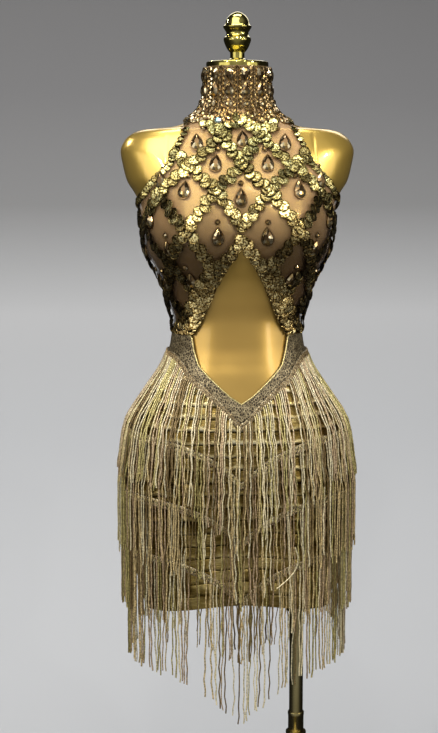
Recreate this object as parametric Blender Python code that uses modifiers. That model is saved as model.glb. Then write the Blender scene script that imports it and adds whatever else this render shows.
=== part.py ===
"""Tassel party dress on a limbless dress form with a telescopic stand.

Metres, +Z up, front towards -Y. The origin is on the floor, under the middle of the dress form.
Every cloth piece is a wall that follows the dress form at a named distance.
"""
import math

import bmesh
import bpy
from mathutils import Vector

OBJECT_NAME = "tassel_party_dress"
GAP = 0.0003

# Cloth stack, measured out from the form's surface
FORM_INSET = 0.0008
CLOTH_CLEAR = 0.0015
COLLAR_CLEAR = 0.0026
MESH_WALL = 0.0012
SKIRT_WALL = 0.0012
BAND_WALL = 0.0024
TUCK_RISE = 0.0018
STRIP_SEAT = 0.0050
STRAND_CLEAR = 0.0066
STRIP_THICK = 0.0024
LAYER_STEP = 0.0045
LAYER_LEAD = 0.016

# Dress form; the waist band and the skirt have their points at the same angles as the form
FORM_SEGMENTS = 32
CAP_RADIUS = 0.0486
CAP_TOP = 1.498
FINIAL_TOP = 1.575

# Stand
POLE_X = 0.0985
BASE_RADIUS = 0.180
BASE_THICK = 0.010
LOWER_TUBE_RADIUS = 0.0128
LOWER_TUBE_BORE = 0.0116
LOWER_TUBE_TOP = 0.446
UPPER_TUBE_RADIUS = 0.0113
UPPER_TUBE_BORE = 0.0101
UPPER_TUBE_BOTTOM = 0.170
SOCKET_HEIGHT = 0.045
TUBE_SIDES = 20
SCREW_HEIGHT = 0.402
SCREW_TURN = math.radians(-16)
BOSS_RADIUS = 0.0085
BOSS_REACH = 0.012
SHANK_RADIUS = 0.0035
KNOB_RADIUS = 0.013
KNOB_LENGTH = 0.016

# Sections of the form: height, half width, front depth, back depth, roundness exponent
FORM_SECTIONS = [
    (1.4850, 0.0475, 0.0475, 0.0480, 2.0),
    (1.4570, 0.0480, 0.0480, 0.0490, 2.0),
    (1.4420, 0.0500, 0.0495, 0.0520, 2.0),
    (1.4285, 0.0550, 0.0530, 0.0570, 2.0),
    (1.4160, 0.0640, 0.0570, 0.0620, 2.0),
    (1.4060, 0.0780, 0.0600, 0.0660, 2.1),
    (1.3975, 0.1020, 0.0630, 0.0700, 2.3),
    (1.3925, 0.1500, 0.0660, 0.0730, 2.6),
    (1.3860, 0.1660, 0.0700, 0.0770, 2.7),
    (1.3760, 0.1770, 0.0760, 0.0830, 2.7),
    (1.3600, 0.1835, 0.0840, 0.0890, 2.7),
    (1.3380, 0.1800, 0.0930, 0.0930, 2.6),
    (1.3150, 0.1740, 0.1000, 0.0950, 2.5),
    (1.2950, 0.1620, 0.1040, 0.0960, 2.4),
    (1.2700, 0.1500, 0.1060, 0.0960, 2.3),
    (1.2400, 0.1465, 0.1050, 0.0945, 2.3),
    (1.2050, 0.1400, 0.1000, 0.0920, 2.3),
    (1.1850, 0.1300, 0.0950, 0.0890, 2.3),
    (1.1600, 0.1170, 0.0880, 0.0840, 2.3),
    (1.1300, 0.1085, 0.0820, 0.0785, 2.3),
    (1.0950, 0.0985, 0.0775, 0.0750, 2.3),
    (1.0600, 0.1020, 0.0800, 0.0790, 2.3),
    (1.0350, 0.1090, 0.0850, 0.0860, 2.3),
    (1.0150, 0.1180, 0.0900, 0.0930, 2.3),
    (0.9900, 0.1345, 0.0950, 0.1030, 2.3),
    (0.9650, 0.1505, 0.1000, 0.1130, 2.3),
    (0.9350, 0.1655, 0.1050, 0.1220, 2.3),
    (0.9000, 0.1735, 0.1080, 0.1280, 2.3),
    (0.8600, 0.1775, 0.1090, 0.1300, 2.3),
    (0.8200, 0.1785, 0.1085, 0.1280, 2.3),
    (0.7800, 0.1760, 0.1070, 0.1230, 2.3),
    (0.7400, 0.1705, 0.1055, 0.1170, 2.3),
    (0.7000, 0.1620, 0.1040, 0.1120, 2.3),
    (0.6620, 0.1520, 0.1020, 0.1060, 2.3),
    (0.6200, 0.1450, 0.1010, 0.1040, 2.3),
]
FORM_BOTTOM = 0.662
BUST_X = 0.072
BUST_Z = 1.243
BUST_RISE = 0.034
BUST_WIDE = 0.052
BUST_HIGH = 0.058

# Bodice edges: height, angle from the front in degrees. The keyhole edge starts at the keyhole's tip.
KEYHOLE_EDGE = [
    (1.2200, 0.0),
    (1.1880, 11.7),
    (1.1600, 22.0),
    (1.1200, 34.5),
    (1.0880, 46.5),
    (1.0783, 50.5),
]
ARMHOLE_EDGE = [
    (1.4235, 118.0),
    (1.4140, 105.0),
    (1.4080, 90.0),
    (1.4020, 72.0),
    (1.3960, 60.0),
    (1.3890, 53.5),
    (1.3540, 52.7),
    (1.3370, 53.1),
    (1.3150, 60.0),
    (1.2950, 68.5),
    (1.2840, 79.0),
    (1.2740, 91.0),
    (1.2620, 103.0),
    (1.2400, 114.0),
    (1.2000, 118.5),
    (1.0783, 122.0),
]
BODICE_ROWS = [
    1.4235, 1.4140, 1.4080, 1.4020, 1.3940, 1.3840, 1.3660, 1.3500, 1.3300, 1.3100, 1.2950, 1.2840,
    1.2740, 1.2600, 1.2400, 1.2200, 1.2030, 1.1850, 1.1660, 1.1460, 1.1250, 1.1060, 1.0920, 1.0783,
]
BODICE_COLUMNS = 12

# Drop stones of one half of the bodice: angle from the front in degrees, height
STONE_PLACES = [
    (23.0, 1.3400),
    (41.0, 1.3710),
    (39.5, 1.3000),
    (17.5, 1.2320),
    (50.0, 1.2120),
    (43.5, 1.1640),
    (66.0, 1.2560),
    (69.0, 1.1560),
    (86.0, 1.2100),
    (94.0, 1.1560),
]
STONE_HALF_WIDTH = 0.0072
STONE_HALF_HEIGHT = 0.0105
STONE_RISE = 0.0048
STONE_MARGIN = 0.0018

# Collar
COLLAR_ROWS = [1.492, 1.469, 1.461, 1.438, 1.4238]
COLLAR_STONE_ROWS = [0, 2]
COLLAR_COLUMNS = 23
COLLAR_STONE_EVERY = 2
COLLAR_STONE_RISE = 0.0032

# Waist band edges: angle from the front in degrees, lower edge, upper edge
BAND_EDGES = [
    (0.0, 0.9440, 0.9740),
    (10.0, 0.9570, 0.9850),
    (20.0, 0.9720, 1.0000),
    (30.0, 0.9880, 1.0150),
    (40.0, 1.0040, 1.0310),
    (47.0, 1.0170, 1.0540),
    (51.0, 1.0240, 1.0760),
    (56.0, 1.0310, 1.0780),
    (65.0, 1.0400, 1.0780),
    (90.0, 1.0430, 1.0780),
    (122.0, 1.0400, 1.0780),
    (135.0, 1.0380, 1.0740),
    (180.0, 1.0350, 1.0680),
]

# Skirt
SKIRT_COLUMNS = FORM_SEGMENTS // 2
TUCK_BLOCK_TOP = 0.930
LOWER_TUCKS = 14
UPPER_TUCKS = 3
SIDE_SEAM_ANGLE = 90.0
HEM_FRONT = 0.652
HEM_SIDE = 0.627
INNER_ROW_STEP = 4

# Fringe tiers: root height at the centre front, the sides and the centre back, turn of the first strand,
# and the shares of a strand's length at which it bends
FRINGE_TIERS = [
    ("one", 0.9400, 1.0380, 1.0310, 0.0, [0.16, 0.32, 0.48, 0.66, 1.0]),
    ("two", 0.8530, 0.9250, 0.9000, 0.5, [0.14, 0.36, 1.0]),
    ("three", 0.7595, 0.8300, 0.8050, 0.0, [0.20, 1.0]),
    ("four", 0.6660, 0.7380, 0.7110, 0.5, [0.20, 1.0]),
]
STRANDS_IN_TIER = 40
STRIP_HEIGHT = 0.0060
STRAND_LENGTH = 0.192
STRAND_WIDTH = 0.0050
STRAND_TIP_WIDTH = 0.0032
ROOT_SLOPE = 1.05

# Turned profile of the finial: height above the cap, radius
FINIAL_PROFILE = [
    (0.0000, 0.0147),
    (0.0030, 0.0147),
    (0.0050, 0.0113),
    (0.0140, 0.0113),
    (0.0180, 0.0151),
    (0.0250, 0.0188),
    (0.0310, 0.0213),
    (0.0370, 0.0213),
    (0.0400, 0.0180),
    (0.0450, 0.0174),
    (0.0500, 0.0205),
    (0.0520, 0.0220),
    (0.0550, 0.0213),
    (0.0580, 0.0185),
    (0.0640, 0.0172),
    (0.0700, 0.0135),
    (0.0745, 0.0075),
]
FINIAL_SIDES = 14


def clear_scene():
    for item in list(bpy.data.objects):
        bpy.data.objects.remove(item, do_unlink=True)


def new_collection(name):
    group = bpy.data.collections.new(name)
    bpy.context.scene.collection.children.link(group)
    return group


def new_material(name, color, roughness, metallic):
    material = bpy.data.materials.new(name)
    material.use_nodes = True
    shader = material.node_tree.nodes["Principled BSDF"]
    shader.inputs["Base Color"].default_value = (*color, 1.0)
    shader.inputs["Roughness"].default_value = roughness
    shader.inputs["Metallic"].default_value = metallic
    return material


def object_from_bmesh(name, bm, material, group):
    bmesh.ops.recalc_face_normals(bm, faces=bm.faces)
    bmesh.ops.triangulate(bm, faces=bm.faces, quad_method="SHORT_EDGE", ngon_method="BEAUTY")
    mesh = bpy.data.meshes.new(name)
    bm.to_mesh(mesh)
    bm.free()
    mesh.materials.append(material)
    item = bpy.data.objects.new(name, mesh)
    group.objects.link(item)
    return item


def in_table(value, rows, column):
    """Straight-line value of a column at a place in the first column, which may rise or fall."""
    ordered = sorted(rows)
    if value <= ordered[0][0]:
        return ordered[0][column]
    for low, high in zip(ordered, ordered[1:]):
        if value <= high[0]:
            share = (value - low[0]) / (high[0] - low[0])
            return low[column] + (high[column] - low[column]) * share
    return ordered[-1][column]


def section_slope(rows, index, column):
    if index in (0, len(rows) - 1):
        return 0.0
    before = (rows[index][column] - rows[index - 1][column]) / (rows[index][0] - rows[index - 1][0])
    after = (rows[index + 1][column] - rows[index][column]) / (rows[index + 1][0] - rows[index][0])
    if before * after <= 0:
        return 0.0
    return 2 * before * after / (before + after)


SECTIONS_UP = sorted(FORM_SECTIONS)


def section_value(height, column):
    """Smooth curve through one column of the form's sections."""
    rows = SECTIONS_UP
    height = min(max(height, rows[0][0]), rows[-1][0])
    index = 0
    while index < len(rows) - 2 and rows[index + 1][0] < height:
        index += 1
    low = rows[index]
    high = rows[index + 1]
    span = high[0] - low[0]
    t = (height - low[0]) / span
    rise_low = section_slope(rows, index, column) * span
    rise_high = section_slope(rows, index + 1, column) * span
    return ((2 * t ** 3 - 3 * t ** 2 + 1) * low[column] + (t ** 3 - 2 * t ** 2 + t) * rise_low
            + (3 * t ** 2 - 2 * t ** 3) * high[column] + (t ** 3 - t ** 2) * rise_high)


def body_radius(angle, height):
    """Distance from the upright axis to the form's surface; the angle is taken from the front."""
    half_width = section_value(height, 1)
    depth = section_value(height, 2 if math.cos(angle) > 0 else 3)
    power = section_value(height, 4)
    across = abs(math.sin(angle)) / half_width
    along = abs(math.cos(angle)) / depth
    radius = (across ** power + along ** power) ** (-1 / power)
    if math.cos(angle) > 0:
        side = (abs(radius * math.sin(angle)) - BUST_X) / BUST_WIDE
        level = (height - BUST_Z) / BUST_HIGH
        radius += BUST_RISE * math.cos(angle) ** 0.7 * math.exp(-side ** 2 - level ** 2)
    return radius


def body_surface(angle, height):
    radius = body_radius(angle, height)
    return Vector((radius * math.sin(angle), -radius * math.cos(angle), height))


def body_point(angle, height, offset):
    """Point at a distance out from the form's surface, along its normal."""
    turn = 0.01
    climb = 0.001
    around = body_surface(angle + turn, height) - body_surface(angle - turn, height)
    upward = body_surface(angle, height + climb) - body_surface(angle, height - climb)
    normal = around.cross(upward).normalized()
    return body_surface(angle, height) + normal * offset


def grid_faces(bm, grid, closed, flip):
    """Quads between the rows of a grid of vertices; returns them by row and column."""
    faces = {}
    for row in range(len(grid) - 1):
        columns = len(grid[row])
        for column in range(columns if closed else columns - 1):
            after = (column + 1) % columns
            corners = [grid[row][column], grid[row][after], grid[row + 1][after], grid[row + 1][column]]
            if flip:
                corners.reverse()
            faces[row, column] = bm.faces.new(corners)
    return faces


def close_edge(bm, outer_line, inner_line):
    for index in range(len(outer_line) - 1):
        bm.faces.new((outer_line[index], outer_line[index + 1], inner_line[index + 1], inner_line[index]))


def raise_stone(bm, face, angle, height, base_offset, lift):
    """Turns one quad of a wall's outer face into a drop stone: a base outline and a raised table."""
    outline = [(-1.0, -0.45), (1.0, -0.45), (0.40, 1.0), (-0.40, 1.0)]
    radius = body_radius(angle, height)
    for share, offset in ((1.0, base_offset), (0.55, base_offset + lift)):
        bmesh.ops.inset_individual(bm, faces=[face], thickness=0.0004, depth=0.0)
        middle = face.calc_center_median()
        mirrored = []
        for vertex in face.verts:
            turn = math.atan2(vertex.co.x, -vertex.co.y) - math.atan2(middle.x, -middle.y)
            mirrored.append((vertex, turn, vertex.co.z - middle.z))
        for vertex, turn, rise in mirrored:
            across, up = min(
                outline,
                key=lambda corner: (corner[0] * turn <= 0) + (corner[1] * rise <= 0),
            )
            vertex.co = body_point(
                angle + across * STONE_HALF_WIDTH * share / radius,
                height + up * STONE_HALF_HEIGHT * share,
                offset,
            )


def build_dress_form(group, material):
    bm = bmesh.new()
    rings = []
    for section in FORM_SECTIONS:
        height = section[0]
        if height < FORM_BOTTOM:
            continue
        ring = []
        for step in range(FORM_SEGMENTS):
            angle = 2 * math.pi * step / FORM_SEGMENTS
            spot = body_point(angle, height, -FORM_INSET)
            spot.z = height
            ring.append(bm.verts.new(spot))
        rings.append(ring)
    grid_faces(bm, rings, True, False)
    bm.faces.new(rings[0])
    bm.faces.new(list(reversed(rings[-1])))
    item = object_from_bmesh("dress_form", bm, material, group)
    item.data.shade_smooth()
    return item


def turned(name, profile, sides, place, material, group, closed_ring=False):
    """Profile of (radius, height) turned about +Z at a place; a closed ring has a bore."""
    bm = bmesh.new()
    line = [bm.verts.new((radius, 0.0, height)) for radius, height in profile]
    edges = [bm.edges.new(pair) for pair in zip(line, line[1:])]
    if closed_ring:
        edges.append(bm.edges.new((line[-1], line[0])))
    bmesh.ops.spin(
        bm, geom=line + edges, cent=(0, 0, 0), axis=(0, 0, 1), angle=2 * math.pi, steps=sides, use_merge=True)
    bmesh.ops.remove_doubles(bm, verts=bm.verts, dist=0.00001)
    item = object_from_bmesh(name, bm, material, group)
    item.location = place
    item.data.shade_smooth()
    item.data.set_sharp_from_angle(angle=math.radians(35))
    return item


def build_cap_and_finial(group, brass):
    under = FORM_SECTIONS[0][0] + GAP
    cap = [
        (0.0, under),
        (CAP_RADIUS - 0.0010, under),
        (CAP_RADIUS, under + 0.0010),
        (CAP_RADIUS, CAP_TOP - 0.0016),
        (CAP_RADIUS - 0.0016, CAP_TOP),
        (0.0, CAP_TOP),
    ]
    turned("neck_cap", cap, 28, (0, 0, 0), brass, group)
    foot = CAP_TOP + GAP
    scale = (FINIAL_TOP - foot) / 0.0767
    profile = [(0.0, foot)]
    profile += [(radius, foot + height * scale) for height, radius in FINIAL_PROFILE]
    profile.append((0.0, FINIAL_TOP))
    turned("finial", profile, FINIAL_SIDES, (0, 0, 0), brass, group)


def build_stand(group, cutters, brass):
    rim = BASE_RADIUS
    plate = [
        (0.0, 0.0),
        (rim - 0.0010, 0.0),
        (rim, 0.0010),
        (rim, BASE_THICK - 0.0030),
        (rim - 0.0030, BASE_THICK),
        (0.0, BASE_THICK),
    ]
    turned("base_plate", plate, 40, (0, 0, 0), brass, group)

    floor = BASE_THICK + GAP
    inner = LOWER_TUBE_RADIUS + GAP
    socket = [
        (inner, floor),
        (0.034, floor),
        (0.034, floor + 0.004),
        (0.030, floor + 0.006),
        (0.0175, floor + 0.008),
        (0.0165, floor + 0.028),
        (0.0150, floor + 0.030),
        (inner, floor + 0.030),
    ]
    turned("base_socket", socket, TUBE_SIDES, (POLE_X, 0, 0), brass, group, closed_ring=True)

    tube = [
        (LOWER_TUBE_BORE, floor),
        (LOWER_TUBE_RADIUS, floor),
        (LOWER_TUBE_RADIUS, LOWER_TUBE_TOP - 0.0060),
        (LOWER_TUBE_RADIUS + 0.0006, LOWER_TUBE_TOP - 0.0052),
        (LOWER_TUBE_RADIUS + 0.0006, LOWER_TUBE_TOP - 0.0008),
        (LOWER_TUBE_RADIUS, LOWER_TUBE_TOP),
        (LOWER_TUBE_BORE, LOWER_TUBE_TOP),
    ]
    lower = turned("lower_tube", tube, TUBE_SIDES, (POLE_X, 0, 0), brass, group, closed_ring=True)

    upper = [
        (UPPER_TUBE_BORE, UPPER_TUBE_BOTTOM),
        (UPPER_TUBE_RADIUS, UPPER_TUBE_BOTTOM),
        (UPPER_TUBE_RADIUS, FORM_BOTTOM - 0.0060 - GAP),
        (UPPER_TUBE_BORE, FORM_BOTTOM - 0.0060 - GAP),
    ]
    turned("upper_tube", upper, TUBE_SIDES, (POLE_X, 0, 0), brass, group, closed_ring=True)

    top = FORM_BOTTOM - GAP
    bore = UPPER_TUBE_RADIUS + GAP
    form_socket = [
        (0.0, top),
        (0.0320, top),
        (0.0320, top - 0.0040),
        (0.0165, top - 0.0065),
        (0.0165, top - SOCKET_HEIGHT + 0.0010),
        (0.0155, top - SOCKET_HEIGHT),
        (bore, top - SOCKET_HEIGHT),
        (bore, top - 0.0057),
        (0.0, top - 0.0057),
    ]
    turned("form_socket", form_socket, TUBE_SIDES, (POLE_X, 0, 0), brass, group)

    build_clamp(group, cutters, brass, lower)


def screw_frame():
    """Rotation that turns +Z to the clamp screw's axis, pointing out to the front left."""
    axis = Vector((math.sin(SCREW_TURN), -math.cos(SCREW_TURN), 0.0))
    return axis, axis.to_track_quat("Z", "Y")


def cutter_cylinder(name, radius, low, high, cutters, axis, turn, sides):
    """Cylinder along the screw's axis, kept as a cutter."""
    bm = bmesh.new()
    bmesh.ops.create_cone(
        bm, cap_ends=True, segments=sides, radius1=radius, radius2=radius, depth=high - low)
    mesh = bpy.data.meshes.new(name)
    bm.to_mesh(mesh)
    bm.free()
    item = bpy.data.objects.new(name, mesh)
    item.rotation_mode = "QUATERNION"
    item.rotation_quaternion = turn
    item.location = Vector((POLE_X, 0, SCREW_HEIGHT)) + axis * (low + high) / 2
    item.hide_render = True
    item.display_type = "WIRE"
    cutters.objects.link(item)
    return item


def cut_with(item, cutter):
    cut = item.modifiers.new(cutter.name, "BOOLEAN")
    cut.operation = "DIFFERENCE"
    cut.object = cutter


def build_clamp(group, cutters, brass, lower):
    axis, turn = screw_frame()
    hole = cutter_cylinder(
        "screw_hole_cutter", SHANK_RADIUS + GAP, LOWER_TUBE_BORE - 0.003, 0.030, cutters, axis, turn, 16)
    cut_with(lower, hole)

    seat = LOWER_TUBE_RADIUS + GAP
    bore = SHANK_RADIUS + GAP
    boss = [
        (bore, seat),
        (BOSS_RADIUS, seat),
        (BOSS_RADIUS, seat + BOSS_REACH - 0.0010),
        (BOSS_RADIUS - 0.0010, seat + BOSS_REACH),
        (bore, seat + BOSS_REACH),
    ]
    collar_radius = LOWER_TUBE_RADIUS + 0.0035
    half = 0.0110
    band = [
        (seat, SCREW_HEIGHT - half),
        (collar_radius, SCREW_HEIGHT - half),
        (collar_radius, SCREW_HEIGHT + half),
        (seat, SCREW_HEIGHT + half),
    ]
    clamp_band = turned("clamp_band", band, TUBE_SIDES, (POLE_X, 0, 0), brass, group, closed_ring=True)
    cut_with(clamp_band, hole)
    shifted = [(radius, height + 0.0035 + GAP) for radius, height in boss]
    clamp_boss = turned("clamp_boss", shifted, 16, (POLE_X, 0, SCREW_HEIGHT), brass, group, closed_ring=True)
    clamp_boss.rotation_mode = "QUATERNION"
    clamp_boss.rotation_quaternion = turn

    tip = UPPER_TUBE_RADIUS + GAP
    face = seat + 0.0035 + GAP + BOSS_REACH + GAP
    screw = [
        (0.0, tip),
        (SHANK_RADIUS, tip),
        (SHANK_RADIUS, face),
        (KNOB_RADIUS - 0.004, face),
        (KNOB_RADIUS, face + 0.003),
        (KNOB_RADIUS, face + KNOB_LENGTH - 0.003),
        (KNOB_RADIUS - 0.003, face + KNOB_LENGTH),
        (0.0, face + KNOB_LENGTH),
    ]
    knob = turned("clamp_screw", screw, 16, (POLE_X, 0, SCREW_HEIGHT), brass, group)
    knob.rotation_mode = "QUATERNION"
    knob.rotation_quaternion = turn


def edge_angle(height, edge):
    return math.radians(in_table(height, edge, 1))


def build_bodice(group, material):
    """One half of the halter bodice, open at the centre above the keyhole, and its mirror image."""
    tip = KEYHOLE_EDGE[0][0]
    places = []
    for height in BODICE_ROWS:
        inner = edge_angle(height, KEYHOLE_EDGE) if height < tip else 0.0
        outer = edge_angle(height, ARMHOLE_EDGE)
        row = []
        for column in range(BODICE_COLUMNS + 1):
            share = column / BODICE_COLUMNS
            row.append([inner + (outer - inner) * share, height])
        places.append(row)

    stones = {}
    for degrees, height in STONE_PLACES:
        angle = math.radians(degrees)
        radius = body_radius(angle, height)

        def distance(cell):
            row, column = cell
            middle_angle = (places[row][column][0] + places[row + 1][column + 1][0]) / 2
            middle_height = (places[row][column][1] + places[row + 1][column + 1][1]) / 2
            return math.hypot((middle_angle - angle) * radius, middle_height - height)

        cells = [(row, column) for row in range(1, len(places) - 2) for column in range(1, BODICE_COLUMNS - 1)]
        row, column = min(cells, key=distance)
        side = (STONE_HALF_WIDTH + STONE_MARGIN) / radius
        upright = STONE_HALF_HEIGHT + STONE_MARGIN
        low_edge = height - STONE_HALF_HEIGHT * 0.45 - STONE_MARGIN
        places[row][column] = [angle - side, height + upright]
        places[row][column + 1] = [angle + side, height + upright]
        places[row + 1][column] = [angle - side, low_edge]
        places[row + 1][column + 1] = [angle + side, low_edge]
        stones[row, column] = (angle, height)

    bm = bmesh.new()
    wall_out = CLOTH_CLEAR + MESH_WALL
    outer_grid = []
    inner_grid = []
    for row in places:
        outer_grid.append([bm.verts.new(body_point(angle, height, wall_out)) for angle, height in row])
        inner_grid.append([bm.verts.new(body_point(angle, height, CLOTH_CLEAR)) for angle, height in row])
    outer_faces = grid_faces(bm, outer_grid, False, False)
    grid_faces(bm, inner_grid, False, True)
    close_edge(bm, outer_grid[0], inner_grid[0])
    close_edge(bm, list(reversed(outer_grid[-1])), list(reversed(inner_grid[-1])))
    close_edge(bm, [row[-1] for row in outer_grid], [row[-1] for row in inner_grid])
    start = BODICE_ROWS.index(tip)
    close_edge(
        bm,
        [row[0] for row in reversed(outer_grid[start:])],
        [row[0] for row in reversed(inner_grid[start:])],
    )
    for cell, (angle, height) in stones.items():
        raise_stone(bm, outer_faces[cell], angle, height, wall_out, STONE_RISE)
    for vertex in bm.verts:
        if abs(vertex.co.x) < 0.00002:
            vertex.co.x = 0.0
    bmesh.ops.recalc_face_normals(bm, faces=bm.faces)
    bmesh.ops.triangulate(bm, faces=bm.faces, quad_method="SHORT_EDGE", ngon_method="BEAUTY")
    mesh = bpy.data.meshes.new("bodice")
    bm.to_mesh(mesh)
    bm.free()
    mesh.materials.append(material)
    item = bpy.data.objects.new("bodice", mesh)
    group.objects.link(item)
    mirror = item.modifiers.new("other_half", "MIRROR")
    mirror.merge_threshold = 0.0001
    return item


def build_collar(group, material):
    """Stand collar round the neck, open at the centre back."""
    opening = 2 * GAP / body_radius(math.pi, COLLAR_ROWS[-1])
    span = 2 * math.pi - opening
    first = -math.pi + opening / 2
    wall_out = COLLAR_CLEAR + MESH_WALL
    bm = bmesh.new()
    outer_grid = []
    inner_grid = []
    for height in COLLAR_ROWS:
        outer_row = []
        inner_row = []
        for column in range(COLLAR_COLUMNS + 1):
            angle = first + span * column / COLLAR_COLUMNS
            outer_row.append(bm.verts.new(body_point(angle, height, wall_out)))
            inner_row.append(bm.verts.new(body_point(angle, height, COLLAR_CLEAR)))
        outer_grid.append(outer_row)
        inner_grid.append(inner_row)
    outer_faces = grid_faces(bm, outer_grid, False, False)
    grid_faces(bm, inner_grid, False, True)
    close_edge(bm, outer_grid[0], inner_grid[0])
    close_edge(bm, list(reversed(outer_grid[-1])), list(reversed(inner_grid[-1])))
    close_edge(bm, [row[-1] for row in outer_grid], [row[-1] for row in inner_grid])
    close_edge(bm, [row[0] for row in reversed(outer_grid)], [row[0] for row in reversed(inner_grid)])
    bmesh.ops.recalc_face_normals(bm, faces=bm.faces)
    stones = [
        outer_faces[row, column]
        for row in COLLAR_STONE_ROWS
        for column in range(1, COLLAR_COLUMNS, COLLAR_STONE_EVERY)
    ]
    bmesh.ops.inset_individual(bm, faces=stones, thickness=0.0012, depth=0.0)
    bmesh.ops.inset_individual(bm, faces=stones, thickness=0.0026, depth=COLLAR_STONE_RISE)
    return object_from_bmesh("collar", bm, material, group)


def band_edge(angle, column):
    folded = abs(math.degrees(math.atan2(math.sin(angle), math.cos(angle))))
    return in_table(folded, BAND_EDGES, column)


def build_waist_band(group, material):
    """Narrow band round the waist that dips in a V at the front."""
    angles = [2 * math.pi * step / FORM_SEGMENTS for step in range(FORM_SEGMENTS)]
    bm = bmesh.new()
    outer_grid = []
    inner_grid = []
    for share in (1.0, 0.5, 0.0):
        outer_row = []
        inner_row = []
        for angle in angles:
            low = band_edge(angle, 1) + GAP
            high = band_edge(angle, 2) - GAP
            height = low + (high - low) * share
            outer_row.append(bm.verts.new(body_point(angle, height, CLOTH_CLEAR + BAND_WALL)))
            inner_row.append(bm.verts.new(body_point(angle, height, CLOTH_CLEAR)))
        outer_grid.append(outer_row)
        inner_grid.append(inner_row)
    grid_faces(bm, outer_grid, True, False)
    grid_faces(bm, inner_grid, True, True)
    top_outer = outer_grid[0] + outer_grid[0][:1]
    top_inner = inner_grid[0] + inner_grid[0][:1]
    close_edge(bm, top_outer, top_inner)
    low_outer = outer_grid[-1] + outer_grid[-1][:1]
    low_inner = inner_grid[-1] + inner_grid[-1][:1]
    close_edge(bm, list(reversed(low_outer)), list(reversed(low_inner)))
    return object_from_bmesh("waist_band", bm, material, group)


def hem_height(angle):
    """The front hem rides up a little at the centre."""
    front = max(0.0, math.cos(angle))
    return HEM_SIDE + (HEM_FRONT - HEM_SIDE) * front ** 2


def skirt_levels():
    """Rows of the skirt as (block, share up the block, raised), two rows to each tuck."""
    levels = []
    for step in range(2 * LOWER_TUCKS):
        levels.append(("lower", step / (2 * LOWER_TUCKS), step % 2 == 1))
    for step in range(2 * UPPER_TUCKS + 1):
        levels.append(("upper", step / (2 * UPPER_TUCKS), step % 2 == 1))
    return levels


def skirt_height(angle, block, share):
    if block == "lower":
        low = hem_height(angle)
        high = TUCK_BLOCK_TOP
    else:
        low = TUCK_BLOCK_TOP
        high = band_edge(angle, 1) - GAP
    return low + (high - low) * share


def build_skirt_panel(name, middle, group, material):
    """Half of the skirt: tucks are raised in the outer points over a plain inside."""
    half = math.radians(SIDE_SEAM_ANGLE) - 0.5 * GAP / section_value(FORM_BOTTOM, 1)
    angles = [
        middle - half + 2 * half * column / SKIRT_COLUMNS for column in range(SKIRT_COLUMNS + 1)
    ]
    levels = skirt_levels()
    inner_index = list(range(0, 2 * LOWER_TUCKS, INNER_ROW_STEP)) + list(range(2 * LOWER_TUCKS, len(levels), 2))
    bm = bmesh.new()
    outer_grid = []
    for block, share, raised in levels:
        offset = CLOTH_CLEAR + SKIRT_WALL + (TUCK_RISE if raised else 0.0)
        outer_grid.append(
            [bm.verts.new(body_point(a, skirt_height(a, block, share), offset)) for a in angles])
    inner_grid = []
    for index in inner_index:
        block, share, _ = levels[index]
        inner_grid.append(
            [bm.verts.new(body_point(a, skirt_height(a, block, share), CLOTH_CLEAR)) for a in angles])
    grid_faces(bm, outer_grid, False, True)
    grid_faces(bm, inner_grid, False, False)
    close_edge(bm, outer_grid[0], inner_grid[0])
    close_edge(bm, list(reversed(outer_grid[-1])), list(reversed(inner_grid[-1])))
    for column in (0, -1):
        for step in range(len(inner_index) - 1):
            outer_line = [outer_grid[i][column] for i in range(inner_index[step], inner_index[step + 1] + 1)]
            corners = outer_line + [inner_grid[step + 1][column], inner_grid[step][column]]
            bm.faces.new(corners)
    return object_from_bmesh(name, bm, material, group)


def root_height(angle, front, side, back):
    """Height of a tier's root: a V at the front that flattens out to the sides, a slight dip behind."""
    if math.cos(angle) > 0:
        arc = abs(body_radius(angle, side) * math.sin(angle))
        rise = side - front
        reach = 1 - math.exp(-arc * ROOT_SLOPE / rise)
        full = 1 - math.exp(-section_value(side, 1) * ROOT_SLOPE / rise)
        return front + rise * reach / full
    return side + (back - side) * math.cos(angle) ** 2


def hanging_radius(angle, height, root, offset):
    """Radius of a strand that falls plumb once the body curves in beneath it."""
    widest = 0.0
    steps = 6
    for step in range(steps + 1):
        level = height + (root - height) * step / steps
        slope = (body_radius(angle, level + 0.002) - body_radius(angle, level - 0.002)) / 0.004
        widest = max(widest, body_radius(angle, level) + offset * math.hypot(1.0, slope))
    return widest


def strand_offset(tier, angle, height):
    """Distance of a tier's strands from the body, stepped out over the tiers that start above this height."""
    covered = 0
    for lower in FRINGE_TIERS[tier + 1:]:
        if height < root_height(angle, *lower[1:4]) + LAYER_LEAD:
            covered += 1
    return STRAND_CLEAR + LAYER_STEP * covered


def strand_points(angle, height, half_width, inner, thick):
    """Four corners of a strand's cross-section, inner side first."""
    out = Vector((math.sin(angle), -math.cos(angle), 0.0))
    side = Vector((math.cos(angle), math.sin(angle), 0.0))
    centre = Vector((0.0, 0.0, height))
    return [
        centre + out * inner - side * half_width,
        centre + out * inner + side * half_width,
        centre + out * (inner + thick) + side * half_width,
        centre + out * (inner + thick) - side * half_width,
    ]


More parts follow.
